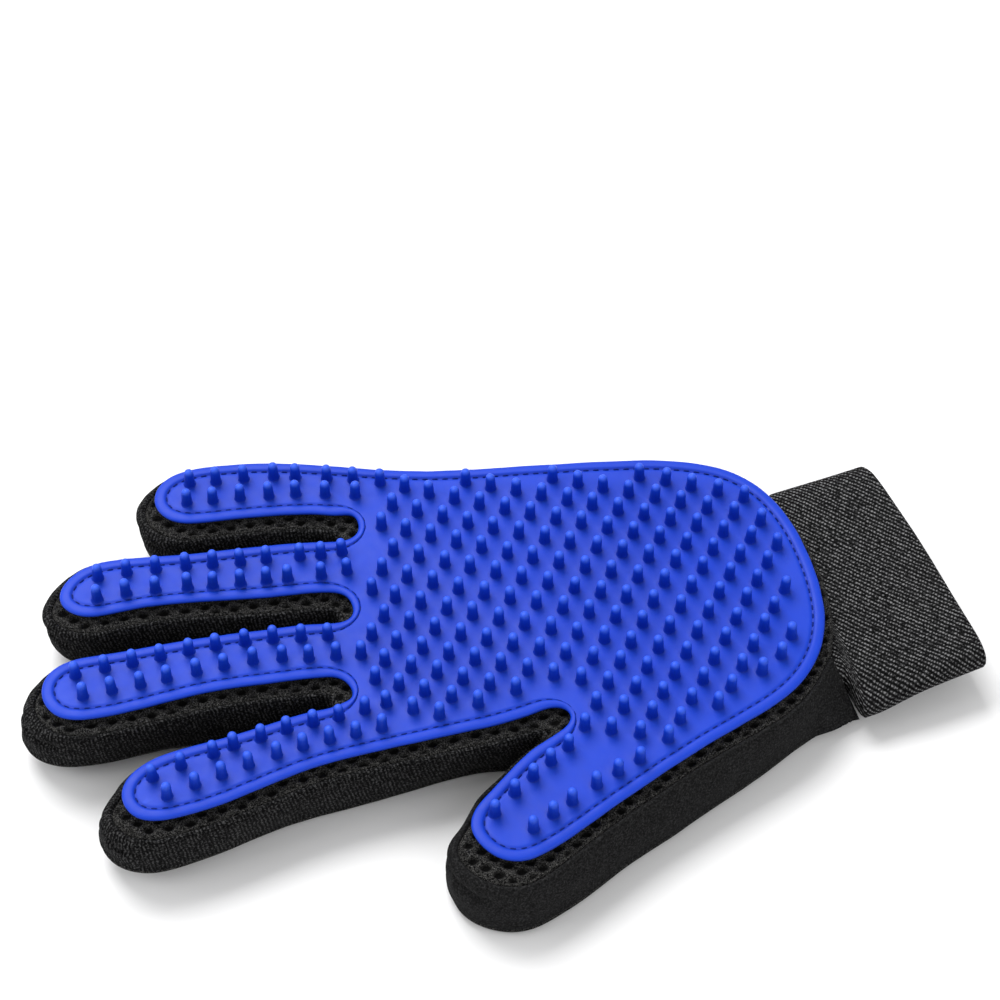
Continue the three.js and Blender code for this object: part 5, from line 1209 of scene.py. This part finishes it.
def build_strip():
    """Wall round the hand; gives vertices, faces and (along, down, ribbed) coordinates.
    Arrays are rows (down the wall) by columns (along it) until the end."""
    total = strip_lengths[-1]
    count = int(total / 0.5)
    s = np.linspace(0, total, count)
    top = at_lengths(strip_top, strip_lengths, s)
    foot = at_lengths(strip_foot, strip_lengths, s)
    outward, foot_outward = normals2(top, closed=False), normals2(foot, closed=False)
    # the web between thumb and forefinger is pulled up off the table
    web = (bell(top[:, 0] + 2, 17) * (top[:, 1] < -20) * (top[:, 1] > -37)
           * smoothstep((12 - top[:, 0]) / 8))
    lift = rise(foot) + 1.6 * gauss(web[:, None], 8, closed=False)[:, 0]
    tips, seam, sag = tip_weight(top), seam_in(top), drape(top)
    ribbed = 1 - plain_knit(top)
    z_top, z_foot = 16.6, 1.75

    def wall(t):
        """Place, outward normal and height, a share t of the way down."""
        return (top * (1 - t) + foot * t, outward * (1 - t) + foot_outward * t,
                z_top + (z_foot - z_top) * t + lift * t + sag * (1 - t) * 0.9)

    rows, coords = [], []

    def add_row(plan, z, down):
        rows.append(np.c_[plan, z])
        coords.append(np.c_[s, np.full(count, down), ribbed])

    # the top edge is turned under the panel's edge, swells out beside it and rolls into the wall
    # inset from the seam, height, share of the fingertips' extra height
    head = [(0.45, 16.10, 0), (0.02, 16.30, 0), (-0.22, 16.72, 0.1), (-0.48, 17.00, 0.3),
            (-0.85, 17.10, 0.6), (-1.22, 16.98, 0.85)]
    for k, (inset, z, share) in enumerate(head):
        add_row(top + outward * -(seam + inset)[:, None], z + sag + 0.12 * share * tips,
                0.35 * (k + 1))
    stations = ([0.0, 0.03, 0.06, 0.09] + list(np.linspace(0.125, 0.94, 20))
                + [0.965, 0.985, 1.0])
    for t in stations:
        plan, normal, z = wall(t)
        shoulder = -0.42 * bell(t, 0.035)
        low_lip = -0.95 * bell(1 - t, 0.022) + 0.16 * bell(t - 0.93, 0.03)
        bulge = 0.30 * math.sin(math.pi * min(1, t * 1.05)) ** 2
        add_row(plan + normal * (shoulder + low_lip + bulge), z, 2.4 + t * 14.0)
    outer = len(rows)
    for t in (0.985, 0.80, 0.5, 0.2, 0.05):
        plan, normal, z = wall(t)
        near_top = t < 0.1
        inset = 1.05 + 0.1 * math.sin(math.pi * t) + 0.5 * near_top
        add_row(plan - normal * inset, z - 0.9 * near_top, t * 14.0)
    row_count = len(rows)
    verts, coords = np.stack(rows), np.stack(coords).reshape(-1, 3)

    # soft, uneven cloth: shallow dents and puckers, strongest round the fingertips
    face = verts[len(head):outer]
    down = np.array(stations)[:, None]
    body = face.reshape(-1, 3)
    dents = (noise_at(body, 0.11, 3.0) * 0.50
             + noise_at(body * np.array([1, 1, 0.45]), 0.33, 9.0) * 0.26)
    fade = np.sin(np.pi * np.clip(down, 0.0, 1.0)) ** 0.5
    # round the fingertips the seam allowance stands out as a roll over the wall
    facing_tip = tips * smoothstep((-outward[:, 0] - 0.15) / 0.6)
    notch = facing_tip * (0.55 * bell(down - 0.12, 0.09) - 1.35 * bell(down - 0.33, 0.055)
                          + 0.25 * bell(down - 0.55, 0.16))
    pucker = (tips * 0.22 * np.sin(s * 2 * math.pi / 5.2 + 1.3 * np.sin(s / 3.1))
              * bell(down - 0.40, 0.20))
    amount = dents.reshape(len(stations), count) * fade + notch + pucker
    face[:, :, :2] += outward * amount[:, :, None]
    shift = puff(face.reshape(-1, 3)).reshape(face.shape)
    face += shift * (0.15 + 0.85 * fade[:, :, None]) * 0.8
    # the hems: cloth folded under, a little thicker, with a rounded edge
    to_end = np.minimum(s, total - s)
    fold = 0.38 * (1 - smoothstep((to_end - 3.6) / 0.8)) - 0.30 * bell(to_end - 4.3, 0.35)
    face[:, :, :2] += outward * (fold * np.minimum(1, fade * 1.5))[:, :, None]
    # the foot of the thumb's hem is drawn back, and the cloth before it kicks out
    to_thumb_hem = total - s
    draw_back = 2.0 * smoothstep((down - 0.80) / 0.20) ** 2 * smoothstep((4.5 - to_thumb_hem) / 4.5)
    foot_heading = foot[-1] - foot[-12]
    foot_heading = foot_heading / np.hypot(*foot_heading)
    face[:, :, :2] -= draw_back[:, :, None] * foot_heading
    kick = 1.5 * bell(to_thumb_hem - 6.5, 5.0) * smoothstep((down - 0.15) / 0.8)
    face[:, :, :2] += outward * kick[:, :, None]
    roundness = np.sqrt(np.clip(1 - (1 - np.clip((to_end + 0.02) / 0.8, 0, 1)) ** 2, 0.0, 1))
    middle = verts.copy()
    middle[:outer, :, :2] -= outward * 0.6
    middle[outer:, :, :2] += outward * 0.55
    verts = middle + (verts - middle) * roundness[None, :, None]
    # on the little finger's side the end slips under the panel's edge
    under = 1 - smoothstep(s / 9.0)
    verts[:, :, 2] -= 1.9 * under * smoothstep((verts[:, :, 2] - 8) / 8)
    verts[:, :, :2] -= outward * (1.1 * under)[:, None]
    verts[:, :, 2] = np.maximum(verts[:, :, 2], 0.25)

    index = np.arange(row_count * count).reshape(row_count, count)
    verts = verts.reshape(-1, 3)
    faces = [ring_faces(j * count, ((j + 1) % row_count) * count, count, closed=False)
             for j in range(row_count)]
    # caps at both ends
    for column, flip in ((0, False), (count - 1, True)):
        ring = index[:, column]
        cap = np.c_[ring, np.roll(ring, -1), np.full(row_count, len(verts))]
        faces.append(cap[:, ::-1] if flip else cap)
        verts = np.vstack([verts, verts[ring].mean(0)])
        coords = np.vstack([coords, coords[ring[0]]])
    faces = face_outwards(verts, np.vstack(faces), index[outer - 10, count // 2],
                          np.r_[outward[count // 2], 0])
    return verts, faces, coords


def make_strip():
    verts, faces, coords = build_strip()
    centres = verts[faces].mean(1)
    regions = which_finger(centres)
    x, y = centres[:, 0], centres[:, 1]
    # the palm's share of the strip falls into six separate stretches
    stretches = {
        "thumb_side_gusset": (x > 9) & (y < -20),
        "thumb_index_fourchette": (x < 9) & (y > -42) & (y < -24),
        "index_middle_fourchette": (x < -30) & (y > -20) & (y < 0),
        "middle_ring_fourchette": (x < -20) & (y > 8) & (y < 25),
        "ring_little_fourchette": (x < -20) & (y > 30) & (y < 47),
        "little_side_gusset": (y > 24) & ~((x < -20) & (y < 47)),
    }
    look = dict(attrs={"uvm": coords}, normals=vertex_normals(verts, faces))
    left_over = regions == 0
    for node, stretch in stretches.items():
        rigid_piece(node + "_surface", verts, faces[left_over & stretch], KNIT, "knit",
                    "palm", node, **look)
        left_over = left_over & ~stretch
    split_pieces("gusset", verts, faces, KNIT, "knit", {"uvm": coords}, groups=regions,
                 palm=False, base_nodes=("gusset_a", "gusset_b"))


make_strip()


# ------------------------------------------------------------------ silicone pad and bristles
GROOVE_INSET, GROOVE_Z = 2.82, 19.62  # line of the pad's stitching
# the pad's rim from its underside, over the wall and through the groove: inset, height
PAD_RIM = [(2.4, PAD_UNDER), (1.55, 17.45), (1.15, 17.8), (0.75, 18.3), (0.32, 18.85),
           (0.06, 19.22), (0.04, 19.48), (0.18, 19.74), (0.48, 19.94), (0.95, 20.05),
           (1.60, 20.10), (2.15, 20.06), (2.48, 19.90), (2.78, 19.62), (3.06, 19.62),
           (3.32, 19.78), (3.80, 19.82)]
# a bristle's profile: radius, height above the pad
BRISTLE = [(1.85, -0.35), (1.70, 0.02), (1.46, 0.18), (1.36, 0.50), (1.31, 1.0), (1.27, 2.2),
           (1.23, 3.4), (1.19, 4.25), (1.12, 4.62), (0.97, 4.95), (0.74, 5.20), (0.42, 5.36)]


def place_nubs():
    """Bristle centres, moved along the finger where they stand too close to a fold."""
    clear = 1.75
    points = NUBS.copy()
    for finger in FINGERS.values():
        for fold in (0, finger.fold):
            along, across = finger_coords(points, finger)
            past = along - fold
            near = within(finger, np.maximum(past, 0), across) & (np.abs(past) < clear)
            move = np.where(along[near] < fold, -clear, clear) - past[near]
            points[near] += finger.heading[None] * move[:, None]
    return points


nub_places = place_nubs()


def pad_ring(inset):
    """The pad's outline moved in, smoothed so that it stays clean round tight corners."""
    return gauss(pad_edge - normals2(pad_edge) * inset, 1.0 + 1.2 * inset)


def build_pad():
    rings = []
    for inset, z in PAD_RIM:
        p = pad_ring(inset)
        rings.append(np.c_[p, z + drape(p)])
    skin = Skin()
    starts = skin.rings(rings)
    last = rings[-1][:, :2]
    # a coarse grid, with two circles of points round each bristle
    grid = grid_inside(last, 1.5, 0.8)
    grid = grid[dist(nub_places, grid) > 2.9]
    circles = np.vstack([
        np.c_[nub[0] + radius * np.cos(circle(sides)), nub[1] + radius * np.sin(circle(sides))]
        for nub in nub_places for radius, sides in ((1.55, 10), (2.3, 12))])
    circles = circles[inside(last, circles)]
    circles = circles[dist(last, circles) > 0.5]
    grid = np.vstack([grid, circles])
    to_nub = dist(nub_places, grid)
    z = (PAD_TOP + drape(grid) + 0.28 * np.exp(-np.maximum(to_nub - 1.2, 0) / 0.55)
         + 0.05 * noise_at(grid, 0.16, 2.0))
    base = skin.fill(last, starts[-1], grid, z)
    # underside, lying on the mesh panel
    under = rings[0][:, :2]
    coarse = grid_inside(under, 5.0, 3)
    under_start = skin.fill(under, 0, coarse, PAD_UNDER + drape(coarse), flip=True)
    verts, faces = skin.arrays()
    foot, groove = np.zeros(len(verts)), np.zeros(len(verts))
    # foot: painted shadow in a ring round each bristle's foot, darkened in the silicone material
    foot[base:under_start] = bell(np.maximum(to_nub - 1.3, 0), 0.75)
    # groove: painted shade along the stitched groove, darkened in the silicone material
    groove[:base] = np.repeat([bell(inset - 2.80, 0.34) for inset, _ in PAD_RIM],
                              len(pad_edge))
    return verts, faces, foot, groove


def build_nubs():
    """All the bristles, each with its own turn, lean and height."""
    sides = 16
    skin = Skin()
    for centre in nub_places:
        angles = RNG.uniform(0, 6.28) + circle(sides)
        lean = RNG.normal(0, 0.022, 2)
        stretch = 1 + RNG.normal(0, 0.012)
        z_foot = PAD_TOP + drape(np.array([centre]))[0]
        rings = []
        for radius, z in BRISTLE:
            x, y = centre + max(0.0, z) * lean
            rings.append(np.c_[x + radius * np.cos(angles), y + radius * np.sin(angles),
                               np.full(sides, z_foot + z * stretch)])
        starts = skin.rings(rings)
        top = skin.add(np.array([[*(centre + lean * 5.4), z_foot + 5.42 * stretch]]))
        bottom = skin.add(np.array([[*centre, z_foot + BRISTLE[0][1]]]))
        skin.fan(starts[-1], sides, top)
        skin.fan(starts[0], sides, bottom, flip=True)
    return (*skin.arrays(), len(BRISTLE) * sides + 2)


def make_pad():
    pad, pad_faces, foot, groove = build_pad()
    nubs, nub_faces, verts_per_nub = build_nubs()
    pad_groups = which_finger(pad[pad_faces].mean(1))
    nub_groups = which_finger(nub_places)[nub_faces[:, 0] // verts_per_nub]
    none = np.zeros(len(nubs))
    # foot and groove mark where the silicone material paints shade
    attrs = {"nub": np.r_[np.zeros(len(pad)), none + 1], "foot": np.r_[foot, none],
             "groove": np.r_[groove, none]}
    split_pieces("pad", np.vstack([pad, nubs]), np.vstack([pad_faces, nub_faces + len(pad)]),
                 SILICONE, "silicone", attrs, groups=np.r_[pad_groups, nub_groups])


make_pad()


# ------------------------------------------------------------------ stitching
def stitch_row(path, pitch, length, radius, height_at, up):
    """Short bowed threads along a closed path, whose ends dive into the cloth.
    up is 1 or -1; also gives the vertices per stitch and the stitches' places."""
    places = closed_resample(path, pitch)
    tangents = np.roll(places, -1, 0) - np.roll(places, 1, 0)
    tangents /= np.hypot(*tangents.T)[:, None]
    sides, steps = 6, 7
    angles = circle(sides)
    normal = np.array([0, 0, up])
    skin = Skin()
    for p, tangent in zip(np.c_[places, height_at(places)],
                          np.c_[tangents, np.zeros(len(places))]):
        across = np.cross(tangent, normal)
        rings = []
        for t in np.linspace(-1, 1, steps):
            bow = radius * 0.75 * (1 - t**4) - radius * 0.9 * t**4
            centre = p + tangent * (t * length / 2) + normal * bow
            thick = radius * (1.0 if abs(t) < 0.9 else 0.45)
            rings.append(centre + thick * (np.cos(angles)[:, None] * across
                                           + np.sin(angles)[:, None] * normal * 0.85))
        starts = skin.rings(rings)
        half = length / 2 + radius * 0.2
        first, last = (skin.add(p[None] + tangent * end - normal * radius * 0.9)
                       for end in (-half, half))
        skin.fan(starts[0], sides, first, flip=True)
        skin.fan(starts[-1], sides, last)
    verts, faces = skin.arrays()
    per_stitch = steps * sides + 2
    faces = face_outwards(verts, faces, 3, verts[3] - verts[:per_stitch].mean(0))
    return verts, faces, per_stitch, places


def stitch_pad():
    verts, faces, per_stitch, places = stitch_row(
        pad_ring(GROOVE_INSET), pitch=2.55, length=1.7, radius=0.19,
        height_at=lambda points: GROOVE_Z + drape(points), up=1.0)
    groups = which_finger(places)[faces[:, 0] // per_stitch]
    split_pieces("stitching", verts, faces, BLUE_THREAD, "silicone", groups=groups,
                 replace=False)


stitch_pad()


# ------------------------------------------------------------------ cuff
def build_cuff():
    """Flattened elastic tube from inside the wrist to its mouth at +X."""
    rows, sides = 96, 220
    thickness, x_start = 1.5, 59.0
    y_low, y_high = -31.4, 33.2
    y_middle, half_width = (y_low + y_high) / 2, (y_high - y_low) / 2
    shares = np.linspace(0, 1, rows)
    angles = np.linspace(0, 2 * math.pi, sides, endpoint=False)
    flat_y = np.sign(np.cos(angles)) * np.abs(np.cos(angles)) ** 0.28
    flat_z = np.sign(np.sin(angles)) * np.abs(np.sin(angles)) ** 0.72

    def surface(inset):
        out = []
        for share in shares:
            run = share * 52
            flare = 1 - smoothstep((run - 10.0) / 12.0)
            lean = max(0.0, (run - 18) / 35)
            half_y = half_width - inset * 0.9 - 0.5 * flare - 0.35 * lean
            half_z = 5.0 + flare * 0.9 - inset - 0.9 * lean
            z_middle = 9.4 - flare * 0.8 + 0.9 * lean
            section = closed_resample(np.c_[half_y * flat_y, half_z * flat_z], count=sides)
            x_nominal = x_start + (112.0 - x_start) * share
            tuck = 1 - smoothstep((x_nominal - 78.9) / 3.0)
            far = y_high + 3.9 * lean - 1.6 * (1 - smoothstep((x_nominal - 76.0) / 7.0))
            near = -34.9 + 6.7 * lean ** 1.05 + 8.9 * tuck
            y = (far + near) / 2 + section[:, 0] * ((far - near) / (y_high - y_low))
            z = z_middle + section[:, 1]
            # both side folds ride up towards the mouth
            z = z + 0.6 * lean * smoothstep((-y - 5) / 28) + 0.6 * lean * smoothstep((y - 15) / 20)
            # beside the thumb's hem it lies down against the table
            z = z - 2.3 * bell(x_nominal - 85.0, 8.5) * smoothstep((-y - 24.5) / 7.0)
            # the mouth is cut on a slight curve
            x_mouth = 114.9 - 0.1283 * (y - near) - 0.0009 * (y - near) ** 2
            out.append(np.c_[x_start + (x_mouth - x_start) * share, y, z])
        return np.stack(out)

    outer, inner = surface(0.0), surface(thickness)
    # the elastic relaxes: a shallow sag on top, slow waves at the mouth, softened corner folds
    share = shares[:, None]
    opening = smoothstep((share - 0.45) / 0.55)
    for wall in (outer, inner):
        x, y, z = wall[:, :, 0], wall[:, :, 1], wall[:, :, 2]
        upper = z > 9.9
        side = (y - y_middle - 2) / half_width
        z += np.where(upper, -0.7 * bell(side - 0.1, 0.45) * smoothstep((share - 0.3) / 0.5),
                      0.15 * np.sin(side * 4) * opening)
        z += opening * 0.22 * np.sin(side * 5.2 + 0.8) * np.where(upper, 1, 0.4)
        x += opening * (0.30 * np.sin(side * 3.1 + 0.5)
                        - 12.0 * np.clip(-side - 0.78, 0, 1) ** 2
                        - 55.0 * np.clip(side - 0.93, 0, 1) ** 2
                        + 0.2 * smoothstep((side - 0.5) / 0.4))
        y += opening * 0.35 * np.sin(z * 0.5)
    rim = []
    for k in range(1, 6):
        t = k / 6
        bulge = np.array([1, 0, 0]) * (0.75 * math.sin(math.pi * t))
        rim.append(outer[-1] * (1 - t) + inner[-1] * t + bulge)
    rings = np.stack(list(outer) + rim + list(inner[::-1]))
    skin = Skin()
    starts = skin.rings(rings)
    skin.faces.append(ring_faces(starts[-1], starts[0], sides))
    verts, faces = skin.arrays()
    coords = np.zeros_like(rings)
    coords[:, :, 0] = rings[:, :, 0]
    coords[:, :, 1] = -path_lengths(outer[rows // 2][:, 1:])
    probe = (rows // 2) * sides
    outward = verts[probe] - np.array([verts[probe][0], y_middle, 9.4])
    return verts, face_outwards(verts, faces, probe, outward), coords.reshape(-1, 3)


verts, faces, coords = build_cuff()
rigid_piece("cuff_surface", verts, faces, ELASTIC, "elastic", "palm", "cuff_band",
            attrs={"uvm": coords})


# ------------------------------------------------------------------ wrist strap
STRAP_X = (80, 100)


def soft_slab(x_range, y_range, z_range, radius, edge, corners=(1, 1, 1, 1), step=0.7, wave=0.0):
    """A flat strip with rounded corners in plan and a rounded edge all round.
    corners says which are fully rounded: (+X+Y, -X+Y, -X-Y, +X-Y)."""
    (x0, x1), (y0, y1), (z0, z1) = x_range, y_range, z_range
    outline = []
    for (side_x, side_y, turn), full in zip(((1, 1, 0), (-1, 1, 90), (-1, -1, 180),
                                             (1, -1, 270)), corners):
        corner = radius if full else min(0.5, radius)
        centre_x = (x1 if side_x > 0 else x0) - side_x * corner
        centre_y = (y1 if side_y > 0 else y0) - side_y * corner
        for angle in np.radians(np.linspace(turn, turn + 90, 8)):
            outline.append([centre_x + corner * math.cos(angle),
                            centre_y + corner * math.sin(angle)])
    loop = closed_resample(np.array(outline), step)
    outward = normals2(loop)
    half, middle = (z1 - z0) / 2, (z0 + z1) / 2
    rings = []
    for angle in np.radians(np.linspace(-90, 90, 11)):
        rings.append(np.c_[loop - outward * (edge * (1 - math.cos(angle))),
                           np.full(len(loop), middle + half * math.sin(angle))])
    skin = Skin()
    starts = skin.rings(rings)
    for k, flip in ((0, True), (-1, False)):
        grid = grid_inside(rings[k][:, :2], step * 1.2, step * 0.7)
        skin.fill(rings[k], starts[k], grid, middle + (-half if flip else half), flip)
    verts, faces = skin.arrays()
    verts[:, 2] += wave * noise_at(verts, 0.12, 1.0)
    return verts, faces


def elastic_slab(name, body, replaced, **slab):
    verts, faces = soft_slab(STRAP_X, **slab)
    coords = np.c_[verts[:, :2], np.ones(len(verts))]
    rigid_piece(name, verts, faces, ELASTIC, "elastic", body, replaced, attrs={"uvm": coords})


def make_loop_patch():
    verts, faces = soft_slab((81, 99), (-25, 16), (3.05, 3.9), radius=1.5, edge=0.4, step=0.6)
    # the underside carries the uneven loops
    low = verts[:, 2] < 3.3
    verts[low, 2] += 0.22 * noise_at(verts[low], 1.6, 4.0)
    rigid_piece("loop_patch_surface", verts, faces, LOOP_TAPE, "loop_tape", "palm", "loop_patch")


def make_hook_patch():
    sides, pitch = 5, 1.15
    # along the hook: lean, height, radius
    stations = [(0, 2.2, 0.11), (0, 2.48, 0.11), (0.10, 2.62, 0.11), (0.26, 2.68, 0.11),
                (0.40, 2.60, 0.06)]
    verts, faces = soft_slab((81.5, 98.5), (-22.5, 0), (1.95, 2.30), radius=1.5, edge=0.17,
                             step=0.6)
    skin = Skin()
    skin.add(verts)
    skin.faces.append(faces)
    cos, sin, flat = np.cos(circle(sides)), np.sin(circle(sides)), np.zeros(sides)
    for i, x in enumerate(np.arange(82.4, 98.0, pitch)):
        for j, y in enumerate(np.arange(-21.6, -0.7, pitch)):
            way = 1 if (i + j) % 2 else -1  # neighbouring hooks bend opposite ways
            rings = []
            for k, (lean, z, radius) in enumerate(stations):
                # level rings in the stem, upright ones in the bend
                section = (cos, sin, flat) if k < 2 else (cos, flat, sin)
                rings.append(np.array([x, y + lean * way, z]) + radius * np.stack(section, 1))
            end = skin.rings(rings)[-1]
            skin.faces.append(np.array([[end, end + k, end + k + 1] for k in (1, 2, 3)]))
    rigid_piece("hook_patch_surface", *skin.arrays(), HOOK_TAPE, "hook_tape", "strap",
                "hook_patch")


def stitch_box(name, x_range, y_range, body, z):
    """A rectangle of black stitches on a downward face."""
    (x0, x1), (y0, y1) = x_range, y_range
    box = np.array([(x0, y0), (x1, y0), (x1, y1), (x0, y1)], float)
    verts, faces, _, _ = stitch_row(box, pitch=2.4, length=1.8, radius=0.2,
                                    height_at=lambda points: np.full(len(points), z), up=-1.0)
    rigid_piece(name, verts, faces, BLACK_THREAD, "elastic", body)


elastic_slab("strap_tab_surface", "strap", "strap_tab", y_range=(-24.0, 19.8),
             z_range=(0.35, 1.65), radius=6.0, edge=0.65, corners=(0, 0, 1, 1), wave=0.10)
elastic_slab("strap_anchor_surface", "palm", "strap_anchor", y_range=(20.2, 27.0),
             z_range=(0.40, 3.9), radius=1.2, edge=1.1, corners=(1, 1, 0, 0), wave=0.08)
make_loop_patch()
make_hook_patch()
stitch_box("strap_anchor_stitching", (81.4, 98.6), (21.4, 25.8), "palm", z=0.40)
stitch_box("hook_patch_stitching", (82.4, 97.6), (-21.4, -1.2), "strap", z=0.35)


# ------------------------------------------------------------------ floor, lights, camera
def floor():
    bpy.ops.mesh.primitive_plane_add(size=6.0, location=(0, 0, -0.0004))
    plane = bpy.context.object
    plane.name = "floor"
    g = Graph("pale_floor")
    place = g.node("TexCoord")["Object"]
    colour = g.ramp(g.noise(place, scale=9.0, detail=3),
                    [(0.3, (0.86, 0.86, 0.865)), (0.7, (0.89, 0.89, 0.893))])
    g.finish({"Base Color": colour, "Roughness": 0.9, "Specular IOR Level": 0.1})
    # far from the glove the table fades into the white of the studio
    away = g.node("VectorMath", {0: place}, operation="LENGTH")["Value"]
    far = g.mul(g.mul_add(away, 2.2, -0.75, clamp=True), g.node("LightPath")["Is Camera Ray"])
    white = g.node("Emission", {"Color": (1, 1, 1, 1), "Strength": 1.0})[0]
    mixed = g.node("MixShader", {0: far, 1: g.shader.outputs[0], 2: white})[0]
    g.tree.links.new(mixed, g.output.inputs["Surface"])
    plane.data.materials.append(g.material)


def area_light(name, location, size, energy):
    """A rectangular light aimed at the origin; metres and watts."""
    light = bpy.data.lights.new(name, "AREA")
    light.shape = "RECTANGLE"
    light.size, light.size_y = size
    light.energy = energy
    ob = bpy.data.objects.new(name, light)
    bpy.context.scene.collection.objects.link(ob)
    ob.location = location
    ob.rotation_euler = (-Vector(location)).to_track_quat("-Z", "Y").to_euler()


def world():
    """White to the camera, dimmer as a light."""
    studio = bpy.data.worlds.new("studio")
    studio.use_nodes = True
    tree = studio.node_tree
    background = tree.nodes.get("Background")
    background.inputs[0].default_value = (1.0, 1.0, 1.0, 1)
    light_path = tree.nodes.new("ShaderNodeLightPath")
    strength = tree.nodes.new("ShaderNodeMapRange")
    strength.inputs["To Min"].default_value = 0.55
    strength.inputs["To Max"].default_value = 1.0
    tree.links.new(light_path.outputs["Is Camera Ray"], strength.inputs["Value"])
    tree.links.new(strength.outputs["Result"], background.inputs[1])
    bpy.context.scene.world = studio


def camera():
    """Looks down from the thumb's side with a long lens."""
    turn, elevation, distance = math.radians(12.5), math.radians(52.0), 727.3
    target = Vector((12.0, 55.2, 0.0))
    sin_t, cos_t = math.sin(turn), math.cos(turn)
    sin_e, cos_e = math.sin(elevation), math.cos(elevation)
    look = Vector((sin_t * cos_e, cos_t * cos_e, -sin_e))
    right = Vector((cos_t, -sin_t, 0))
    up = Vector((sin_t * sin_e, cos_t * sin_e, cos_e))
    data = bpy.data.cameras.new("camera")
    ob = bpy.data.objects.new("camera", data)
    bpy.context.scene.collection.objects.link(ob)
    data.sensor_fit = "HORIZONTAL"
    data.sensor_width = 36.0
    data.lens = 100.8
    data.clip_start, data.clip_end = 0.01, 20
    axes = Matrix((right, up, -look)).transposed().to_4x4()
    ob.matrix_world = Matrix.Translation((target - look * distance) / 1000.0) @ axes
    bpy.context.scene.camera = ob


floor()
area_light("key_light", location=(-0.25, 0.75, 1.15), size=(0.9, 0.7), energy=19.0)
area_light("fill_light", location=(0.55, -0.9, 0.9), size=(1.2, 1.0), energy=5.0)
area_light("rim_light", location=(-1.0, 0.1, 0.8), size=(0.7, 0.7), energy=4.0)
world()
bpy.context.scene.view_settings.view_transform = "Standard"
bpy.context.scene.view_settings.look = "None"
camera()
